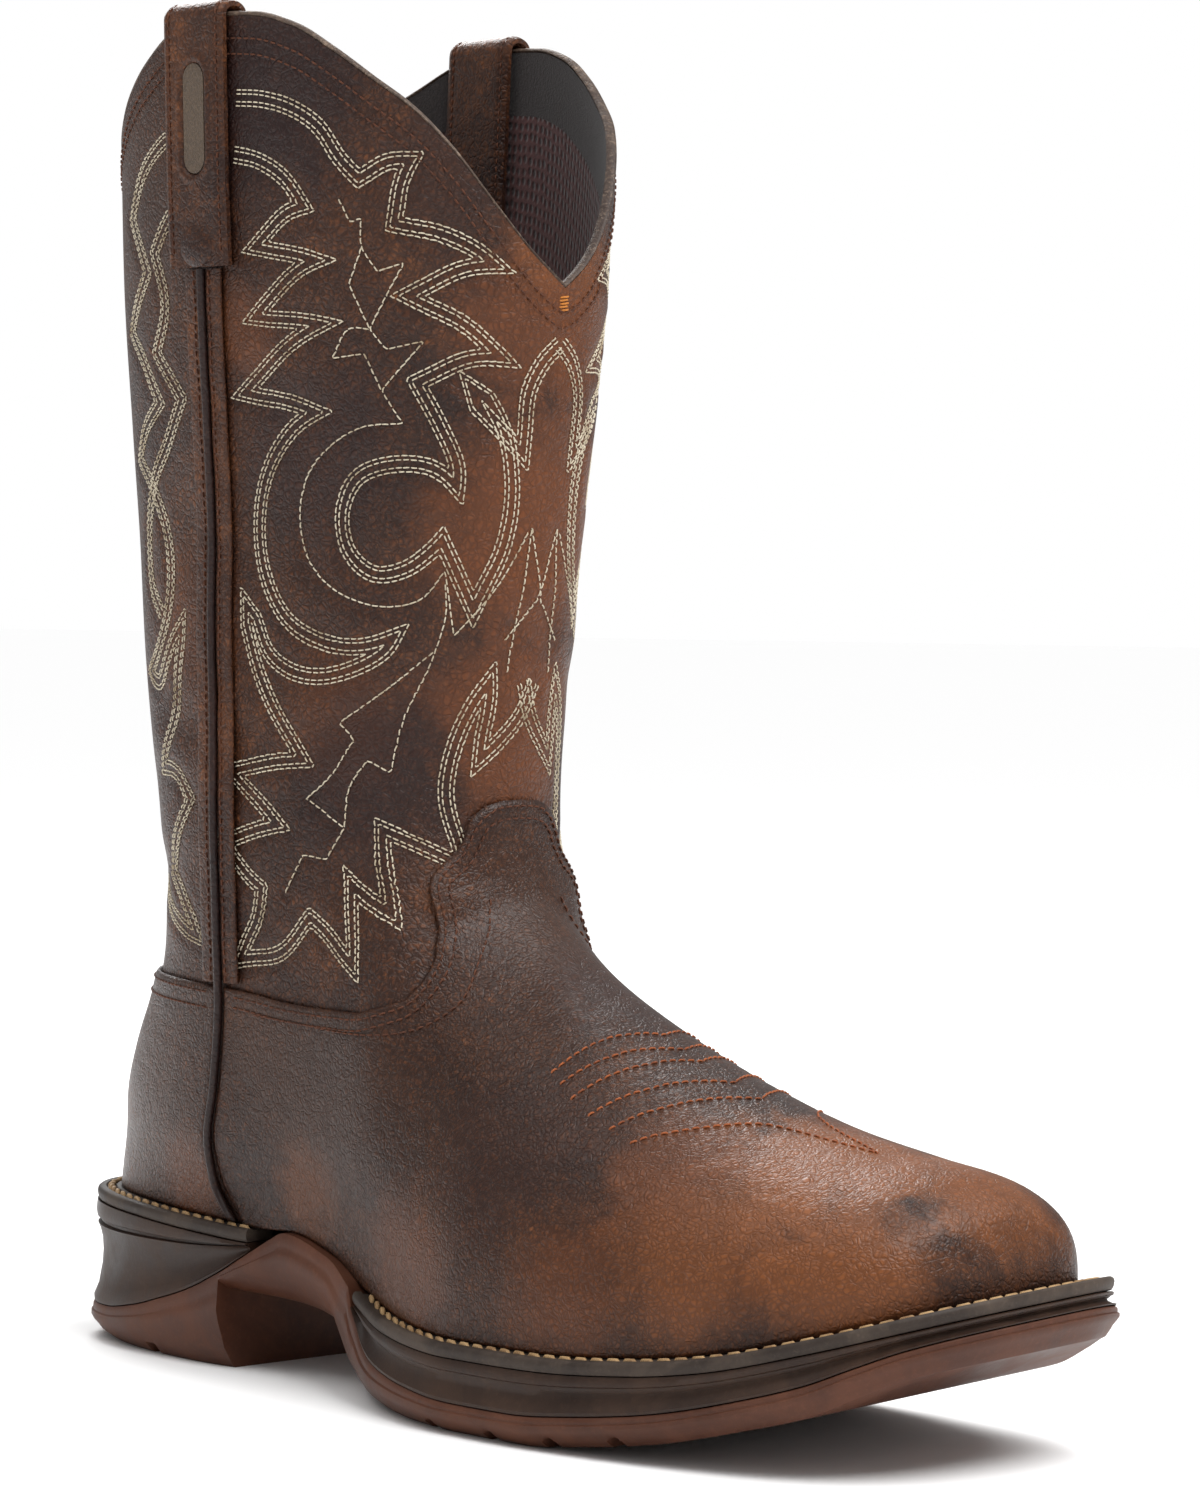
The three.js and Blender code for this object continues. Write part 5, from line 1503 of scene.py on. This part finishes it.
    def build_binding(self) -> None:
        """Makes the folded edge on the collar."""
        outer, inner = self.points[-1], self.points[-1] - self.normals[-1] * self.last.wall
        middle, half = (outer + inner) / 2, (outer - inner) / 2
        rows = []
        for turn in turns(12):
            rise = np.array([0, 0, 0.75 * math.sin(turn)])
            rows.append(middle + half * math.cos(turn) * 1.12 + rise + np.array([0, 0, 0.55]))
        bm = draped_grid(self.last.place(np.array(rows)), wrap_rows=True, wrap_columns=True)
        bmesh.ops.recalc_face_normals(bm, faces=bm.faces)
        obj = finished("collar_edge", bm, [self.palette.edge])
        hand_over(obj, "binding", "collar_binding")

    def build_seams(self) -> None:
        """Makes the strips and the piping up both side seams."""
        last = self.last
        bottom = last.instep_height * last.side_edge[2][1] + 0.9
        top = last.shaft_height - self.strap_drop - last.fit
        zs = np.linspace(bottom, top, 120)
        gap = self.piping_radius + last.fit
        for side in Side:
            for way, label in ((1, "front"), (-1, "rear")):
                rows = []
                for turn in turns(20):
                    reach, rise = math.cos(turn), math.sin(turn)
                    reach = math.copysign(abs(reach) ** 0.4, reach)
                    rise = math.copysign(abs(rise) ** 0.7, rise)
                    across = gap + self.strip_width / 2 * (1 + reach)
                    wave = 0.12 * np.sin(zs * 0.35 + way)
                    offset = last.fit + last.overlay * 0.5 * (1 + rise) + wave * max(rise, 0)
                    rows.append(self.side_point(self.seam_x(zs) + way * across, zs, side, offset))
                bm = draped_grid(last.place(np.array(rows)), wrap_rows=True)
                close_ends(bm)
                strip = finished(f"strip_{label}_{side.label}", bm, [self.palette.strap], sharp=70)
                hand_over(strip, "shaft_leather", f"seam_strip_{label}_{side.label}")
                row = self.side_point(self.seam_x(zs) + way * (gap + 1.5), zs, side,
                                      np.full(len(zs), 1.6))
                self.sewn(f"strip_stitches_{label}_{side.label}", [last.place(row)], Surface(strip),
                          Thread(2.2, 1.6, 0.24, lift=0.28), self.palette.brown, "shaft_leather")
            low = float(last.seat(self.seam_x(last.heel_height))) + 2.0
            heights = np.linspace(low, top, 160)
            rows = []
            for turn in turns(12):
                shift = self.piping_radius * math.cos(turn)
                offset = last.fit * 2 + self.piping_radius * (1 + math.sin(turn))
                rows.append(self.side_point(self.seam_x(heights) + shift, heights, side,
                                            np.full(len(heights), offset)))
            bm = draped_grid(last.place(np.array(rows)), wrap_rows=True)
            close_ends(bm)
            obj = finished(f"side_piping_{side.label}", bm, [self.palette.piping])
            hand_over(obj, "trim_leather", f"piping_{side.label}")


@dataclass
class PullStraps:
    """The straps sewn over the collar at both sides."""

    last: Last
    palette: Palette
    width: float = 23
    thickness: float = 2.6
    drop: float = 62
    inside: float = 50
    binding: float = 1.0
    headroom: float = 0.6
    patch_width: float = 8.5
    patch_length: float = 28
    patch_drop: float = 25
    pocket: float = 1.2

    def line(self) -> np.ndarray:
        """Middle line of the strap across the collar: distance from the boot's middle, height."""
        last = self.last
        top, fit, half = last.shaft_height, last.fit, self.thickness / 2
        crest, shoulder = top + fit + self.binding + self.headroom, top + fit
        xs = np.array([last.strap_x - self.width / 2, last.strap_x + self.width / 2])

        def wide(z: float) -> float:
            """Half width of the shaft at its side line."""
            return float(last.shaft_half(np.array(last.side_x), np.array(z)))

        def narrow(z: float) -> float:
            """Half width of the shaft at the strap's narrower edge."""
            return float(np.min(last.shaft_half(xs, np.full(2, z))))

        out = [(wide(z) + fit + half, z)
               for z in (top - self.drop, top - self.drop * 0.68, top - self.drop * 0.14)]
        centre = (wide(top) + narrow(top) - last.wall - fit) / 2
        reach = wide(top) + fit - centre + half
        arc = [(centre + reach * math.cos(turn), shoulder + (crest - shoulder + half)
                * math.sin(turn)) for turn in np.linspace(0, math.pi, 13)]
        into = [(narrow(z) - last.wall - 2 * fit - half, z)
                for z in (shoulder - 4, top - self.inside * 0.5, top - self.inside)]
        return resample(np.array(out + arc + into), 300)

    def spots(self, side: Side, x: np.ndarray | float, y: np.ndarray,
              z: np.ndarray) -> np.ndarray:
        """Points x along from the strap's middle, y out from the boot's middle, at height z."""
        return np.stack([np.broadcast_to(self.last.strap_x + x, y.shape), side.value * y, z],
                        axis=1)

    def build(self, side: Side) -> None:
        """Makes one strap with its inset, edge rows and end tab.

        Args:
            side: The side of the boot.
        """
        line = self.line()
        steps = np.gradient(line, axis=0)
        steps /= np.linalg.norm(steps, axis=1, keepdims=True)
        out = np.stack([steps[:, 1], -steps[:, 0]], axis=1)
        half, thick = self.width / 2, self.thickness / 2
        face = np.linspace(-1, 1, 47)
        ring = [(half * math.copysign(abs(a) ** 0.92, a), thick
                 * (1 - 0.55 * max(abs(a) - 0.86, 0) / 0.14)) for a in face]
        ring += [(half, 0.0)] + [(x, -y) for x, y in reversed(ring)] + [(-half, 0.0)]
        centre_z = self.last.shaft_height - self.patch_drop
        straight = (self.patch_length - self.patch_width) / 2
        rows = []
        arc = arc_lengths(line)
        for x, depth in ring:
            lift = np.full(len(line), depth)
            if depth > 0:
                along = np.maximum(np.abs(line[:, 1] - centre_z) - straight, 0)
                gap = np.hypot(along, x) - self.patch_width / 2
                near = arc < self.drop
                lift -= np.where(near, self.pocket * ease((0.35 - gap) / 0.7), 0)
                lift += np.where(near, 0.35 * np.exp(-((gap - 1.3) / 0.8) ** 2), 0)
                lift -= 0.35 * np.exp(-((abs(x) - (half - 2.3)) / 0.7) ** 2)
            point = line + out * lift[:, None]
            rows.append(self.spots(side, x, point[:, 0], point[:, 1]))
        bm = draped_grid(self.last.place(np.array(rows)), wrap_rows=True)
        close_ends(bm)
        strap = finished(f"strap_{side.label}", bm, [self.palette.strap], sharp=55)
        hand_over(strap, "strap_leather", f"pull_strap_{side.label}")
        surface = Surface(strap)
        point = line + out * thick
        rows = [self.last.place(self.spots(side, x, point[:, 0], point[:, 1])[8:-8])
                for x in (-(half - 2.3), half - 2.3)]
        around = np.linspace(0, 2 * math.pi, 60)
        reach = self.patch_width / 2 + 1.5
        z = centre_z + reach * np.sin(around) + straight * np.sign(np.sin(around))
        y = np.interp(z, line[::-1, 1][-140:], line[::-1, 0][-140:]) + thick
        rows.append(self.last.place(self.spots(side, reach * np.cos(around), y, z)))
        sewn = Thread(2.1, 1.55, 0.23, lift=0.26).sew(f"strap_stitches_{side.label}", rows,
                                                      surface, self.palette.brown)
        hand_over(sewn, "strap_leather")
        self.tab(side, float(line[0, 0]) + thick)
        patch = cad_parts[f"strap_patch_{side.label}"]
        patch.data.materials.clear()
        patch.data.materials.append(self.palette.suede)

    def tab(self, side: Side, face: float) -> None:
        """The rounded tack tab at the strap's lower end."""
        bm = bmesh.new()
        bmesh.ops.create_uvsphere(bm, u_segments=32, v_segments=20, radius=1.0)
        foot = self.last.shaft_height - self.drop
        centre = self.last.place(np.array([self.last.strap_x, side.value * (face - 0.1),
                                           foot + 5.5]))
        bmesh.ops.scale(bm, vec=(0.0064, 0.0019, 0.0056), verts=bm.verts)
        bmesh.ops.translate(bm, vec=centre, verts=bm.verts)
        hand_over(finished(f"strap_tab_{side.label}", bm, [self.palette.strap]),
                  "strap_leather")


@dataclass
class Bottom:
    """Outsole, heel wrap, forefoot layer and both welts."""

    last: Last
    palette: Palette
    notch: float = 4.0
    notch_depth: float = 2.6
    lugs = (0.055, 0.15, 0.47, 0.571, 0.64, 0.70, 0.76)

    def __post_init__(self) -> None:
        """Sets the columns, with extra ones at the breast and at each notch."""
        last = self.last
        marks = [last.station(last.breast_x + d) for d in (-0.3, 0.3)]
        for share in self.lugs:
            x = share * last.sole_length
            marks += [last.station(x + d) for d in (-2.02, -1.95, -1.2, 0, 1.2, 1.95, 2.02)]
        marks += [last.station(share * last.sole_length)
                  for share in (0.308, 0.318, 0.424, 0.431, 0.437, 0.444, 0.45)]
        self.u = np.unique(np.concatenate([np.linspace(0, 1, 36), np.linspace(1, 2, 100),
                                           np.linspace(2, 3, 50), marks]))

    def row(self, u: np.ndarray, side: Side, inset: np.ndarray | float, height: Height,
            inward: float = 0.0) -> np.ndarray:
        """One row of a layer on one side.

        Args:
            u: Column places.
            side: Side of the boot.
            inset: Distance in from the welt's outline, a number or one for each column.
            height: Height from the bent x and the station's x.
            inward: Share of the way to the middle line.

        Returns:
            Points in millimetres.
        """
        station = self.last.plan_point(u, side)[..., 0]
        flat = self.last.inset_point(u, side, inset)
        middle = (flat + self.last.inset_point(u, Side(-side.value), inset)) / 2
        flat = self.last.bend(mix(flat, middle, inward))
        z = height(flat[..., 0], station) + self.last.twist(flat[..., 0], flat[..., 1])
        return np.stack([flat[..., 0], flat[..., 1], np.maximum(z, 0)], axis=-1)

    def loop(self, u: np.ndarray, heel: bool, inset: float, height: Height) -> np.ndarray:
        """A row round the heel, or else round the toe, from one open end to the other."""
        lateral, medial = (self.row(u, side, inset, height) for side in Side)
        parts = [lateral[:0:-1], medial] if heel else [lateral, medial[-2::-1]]
        return np.concatenate(parts)

    def lug_rise(self, station: np.ndarray) -> np.ndarray:
        """How far the notches cut up into the outsole's edge."""
        rise = np.zeros_like(station)
        for share in self.lugs:
            gap = np.abs(station - share * self.last.sole_length) / (self.notch / 2)
            rise = np.maximum(rise, self.notch_depth * np.sqrt(np.maximum(1 - gap**2, 0)))
        return rise

    def build_outsole(self) -> None:
        """Makes the outsole with its wings, lug notches and side ribs."""
        last = self.last
        rows = []

        def under(x: np.ndarray, station: np.ndarray) -> np.ndarray:
            """The underside with the notches."""
            return last.underside(x, station) + self.lug_rise(station)

        def up(share: float) -> Height:
            """A height up the outsole's side, without the notches."""
            return lambda x, station: mix(last.underside(x, station), last.sideline(x), share)

        def notched(share: float) -> Height:
            """A height up the outsole's side that the notches lift."""
            return lambda x, s: np.maximum(up(share)(x, s), np.minimum(under(x, s),
                                                                       last.sideline(x)))

        profile = [(1.0, 1.0, under, 1.0), (1.0, 1.0, under, 0.66), (1.0, 1.0, under, 0.33),
                   (1.0, 1.0, under, 0.1), (1.0, 0.8, under, 0.0), (1.0, 0.0, under, 0.0),
                   (0.82, 0.0, notched(0.03), 0.0), (0.25, 0.0, notched(0.22), 0.0),
                   (0.1, -0.3, notched(0.36), 0.0), (0.0, -1.0, notched(0.5), 0.0),
                   (0.0, -1.6, notched(0.62), 0.0), (0.0, -1.55, up(0.74), 0.0),
                   (0.0, -1.1, up(0.78), 0.0), (0.0, -1.15, up(0.84), 0.0),
                   (0.0, -1.05, up(0.94), 0.0), (0.0, -0.6, up(1.0), 0.0),
                   (0.0, 1.5, up(1.0), 0.0), (0.0, 9.8, up(1.0), 0.0), (0.0, 9.8, up(1.0), 0.5),
                   (0.0, 9.8, up(1.0), 1.0)]
        for tuck, extra, height, inward in profile:
            halves = []
            for side in Side:
                station = last.plan_point(self.u, side)[..., 0]
                inset = tuck * last.ball_width * last.tuck(station / last.sole_length) + extra
                halves.append(self.row(self.u, side, inset, height, inward))
            rows.append(np.concatenate([halves[0], halves[1][-2:0:-1]]))
        bm = draped_grid(last.place(np.array(rows)), wrap_columns=True)
        bmesh.ops.remove_doubles(bm, verts=bm.verts, dist=1e-5)
        close_ends(bm)
        obj = finished("rubber_outsole", bm, [self.palette.outsole], sharp=38)
        hand_over(obj, "outsole_rubber", "outsole")

    def columns(self, x: float, heel: bool) -> np.ndarray:
        """The columns from the heel to a place along the sole, or else from there to the toe."""
        at = self.last.station(x)
        if heel:
            return np.append(self.u[self.u < at - 1e-6], at)
        return np.insert(self.u[self.u > at + 1e-6], 0, at)

    def layer(self, name: str, node: str, u: np.ndarray, heel: bool,
              profile: Sequence[tuple[float, Height]], mat: bpy.types.Material,
              slot: str) -> bpy.types.Object:
        """A layer swept round the heel or the toe with open ends closed flat.

        Args:
            name: The piece's name.
            node: The CAD node that it stands for.
            u: Column places.
            heel: Whether the layer goes round the heel, else round the toe.
            profile: Inset and height of each point of its section.
            mat: Material.
            slot: Name of a material slot; not used.

        Returns:
            The piece.
        """
        rows = [self.loop(u, heel, inset, height) for inset, height in profile]
        bm = draped_grid(self.last.place(np.array(rows)), wrap_rows=True)
        close_ends(bm)
        return hand_over(finished(name, bm, [mat], sharp=42), slot, node)

    def build_layers(self) -> None:
        """Makes the heel wrap, the forefoot layer, the welts and the rope of welt stitches."""
        last = self.last
        fit, thick, strip = last.fit, last.welt_thickness, last.welt_strip

        def at(share: float) -> Height:
            """A height between the outsole and the welt."""
            return lambda x, _: mix(last.sideline(x) + fit, last.seat(x) - thick - fit, share)

        def welt(drop: float) -> Height:
            """A height below the welt's top."""
            return lambda x, _: last.seat(x) - drop

        heel = self.columns(0.2801 * last.sole_length, True)
        fore = self.columns(0.4319 * last.sole_length, False)
        wrap = [(-0.8, at(0)), (-0.9, at(0.05)), (0.3, at(0.16)), (1.2, at(0.36)), (1.4, at(0.5)),
                (1.2, at(0.62)), (0.5, at(0.72)), (-0.1, at(0.77)), (0.9, at(0.79)),
                (0.9, at(0.82)), (-0.3, at(0.84)), (-0.6, at(0.9)), (-0.3, at(1.0)),
                (strip, at(1.0)), (strip, at(0.0))]
        self.layer("heel_layer", "heel_wrap", heel, True, wrap, self.palette.midsole,
                   "midsole_rubber")
        mid = [(-0.8, at(0)), (-0.9, at(0.08)), (0.0, at(0.2)), (1.0, at(0.42)), (1.2, at(0.55)),
               (0.5, at(0.66)), (0.5, at(0.7)), (-0.2, at(0.74)), (-0.3, at(0.9)), (0.3, at(1.0)),
               (strip, at(1.0)), (strip, at(0.0))]
        self.layer("forefoot_layer", "midsole_forefoot", fore, False, mid, self.palette.midsole,
                   "midsole_rubber")
        edge = [(0.2, welt(thick)), (-0.2, welt(thick * 0.75)), (-0.35, welt(thick * 0.4)),
                (-0.1, welt(0.5)), (0.5, welt(0.0)), (1.9, welt(0.0)), (2.3, welt(0.55)),
                (4.4, welt(0.55)), (4.8, welt(0.0)), (strip, welt(0.0)), (strip, welt(thick))]
        rope = Thread(4.6, 4.3, 0.72, lift=0.5, slant=0.55)
        for label, u, is_heel in (("heel", heel, True), ("forefoot", fore, False)):
            obj = self.layer(f"welt_{label}_strip", f"welt_{label}", u, is_heel, edge,
                             self.palette.welt, "welt_rubber")
            line = self.loop(u, is_heel, 3.35, welt(0.2))
            sewn = rope.sew(f"welt_rope_{label}", [last.place(line)[1:-1]], Surface(obj),
                            self.palette.rope)
            hand_over(sewn, "welt_rubber")


@dataclass
class Studio:
    """Pale floor, soft light and the camera, which has the photograph's angle and slight roll."""

    last: Last
    floor_tone: float = 0.97
    ambient: float = 0.4
    backdrop: float = 0.6
    sun_power: float = 2.3
    sun_spread: float = 40
    yaw: float = 0.79804
    pitch: float = 0.02725
    roll: float = 0.015845
    focal: float = 4771.0
    photo_height: float = 1500
    sensor: float = 36.0
    stand: tuple[float, float, float] = (1006.99, -814.15, 191.59)

    def build(self) -> None:
        """Sets the floor, the lights and the camera."""
        floor_bm = bmesh.new()
        bmesh.ops.create_grid(floor_bm, x_segments=1, y_segments=1, size=60.0)
        mat, _, shader = new_material("pale_floor")
        shader.inputs["Base Color"].default_value = (*[self.floor_tone] * 3, 1)
        shader.inputs["Roughness"].default_value = 0.9
        floor = finished("floor", floor_bm, [mat], smooth=False)
        world = bpy.data.worlds.new("studio")
        bpy.context.scene.world = world
        world.use_nodes = True
        sky = Nodes(world.node_tree)
        seen = sky.add("ShaderNodeLightPath").outputs["Is Camera Ray"]
        strength = sky.math("ADD", sky.math("MULTIPLY", seen, self.backdrop), self.ambient)
        sky.feed(world.node_tree.nodes["Background"],
                 {"Color": (1, 1, 1, 1), "Strength": strength})
        light = bpy.data.lights.new("sun", "SUN")
        light.energy, light.angle = self.sun_power, math.radians(self.sun_spread)
        sun = bpy.data.objects.new("sun", light)
        sun.rotation_euler = (math.radians(-14), math.radians(24), 0)
        bpy.context.scene.collection.objects.link(sun)
        self.lamp("key", (0.9, -0.2, 1.5), 12.0, 0.8)
        self.lamp("top", (-0.3, -0.7, 1.7), 8.0, 1.0)
        self.lamp("rim", (-0.9, 0.5, 0.9), 10.0, 0.6)
        self.camera()

    def lamp(self, name: str, place: tuple[float, float, float], power: float,
             size: float) -> None:
        """A square soft light that looks at the boot."""
        data = bpy.data.lights.new(name, "AREA")
        data.energy, data.size = power, size
        obj = bpy.data.objects.new(name, data)
        obj.location = place
        aim = Vector((0.0, 0.0, 0.12)) - obj.location
        obj.rotation_mode = "QUATERNION"
        obj.rotation_quaternion = aim.to_track_quat("-Z", "Y")
        bpy.context.scene.collection.objects.link(obj)

    def camera(self) -> None:
        """Stands the camera where the photograph was taken from."""
        yaw, pitch, roll = self.yaw, self.pitch, self.roll
        forward = Vector((-math.sin(yaw) * math.cos(pitch), math.cos(yaw) * math.cos(pitch),
                          -math.sin(pitch)))
        right = Vector((math.cos(yaw), math.sin(yaw), 0))
        up = right.cross(forward)
        across = right * math.cos(roll) + up * math.sin(roll)
        upright = up * math.cos(roll) - right * math.sin(roll)
        data = bpy.data.cameras.new("camera")
        data.sensor_width = self.sensor
        data.lens = self.focal / self.photo_height * self.sensor
        data.clip_end = 50
        obj = bpy.data.objects.new("camera", data)
        obj.rotation_mode = "QUATERNION"
        obj.rotation_quaternion = Matrix((across, upright, -forward)).transposed().to_quaternion()
        obj.location = Vector(self.last.place(self.stand))
        bpy.context.scene.collection.objects.link(obj)
        bpy.context.scene.camera = obj


def corners(box: tuple[Vector, Vector]) -> list[list[float]]:
    """A box as plain lists."""
    return [list(corner) for corner in box]


def main() -> None:
    """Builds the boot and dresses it."""
    logging.basicConfig(level=logging.INFO, format="%(relativeCreated)d ms %(message)s")
    last = Last()
    palette = Palette(last)
    Studio(last).build()
    bottom = Bottom(last, palette)
    bottom.build_outsole()
    bottom.build_layers()
    upper = Upper(last, palette)
    upper.build_shaft()
    upper.build_overlays()
    upper.build_binding()
    upper.build_seams()
    straps = PullStraps(last, palette)
    for side in Side:
        straps.build(side)
    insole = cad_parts["insole"]
    insole.data.materials.clear()
    insole.data.materials.append(palette.insole)
    bpy.context.scene.view_settings.view_transform = "Standard"


if __name__ == "__main__":
    main()
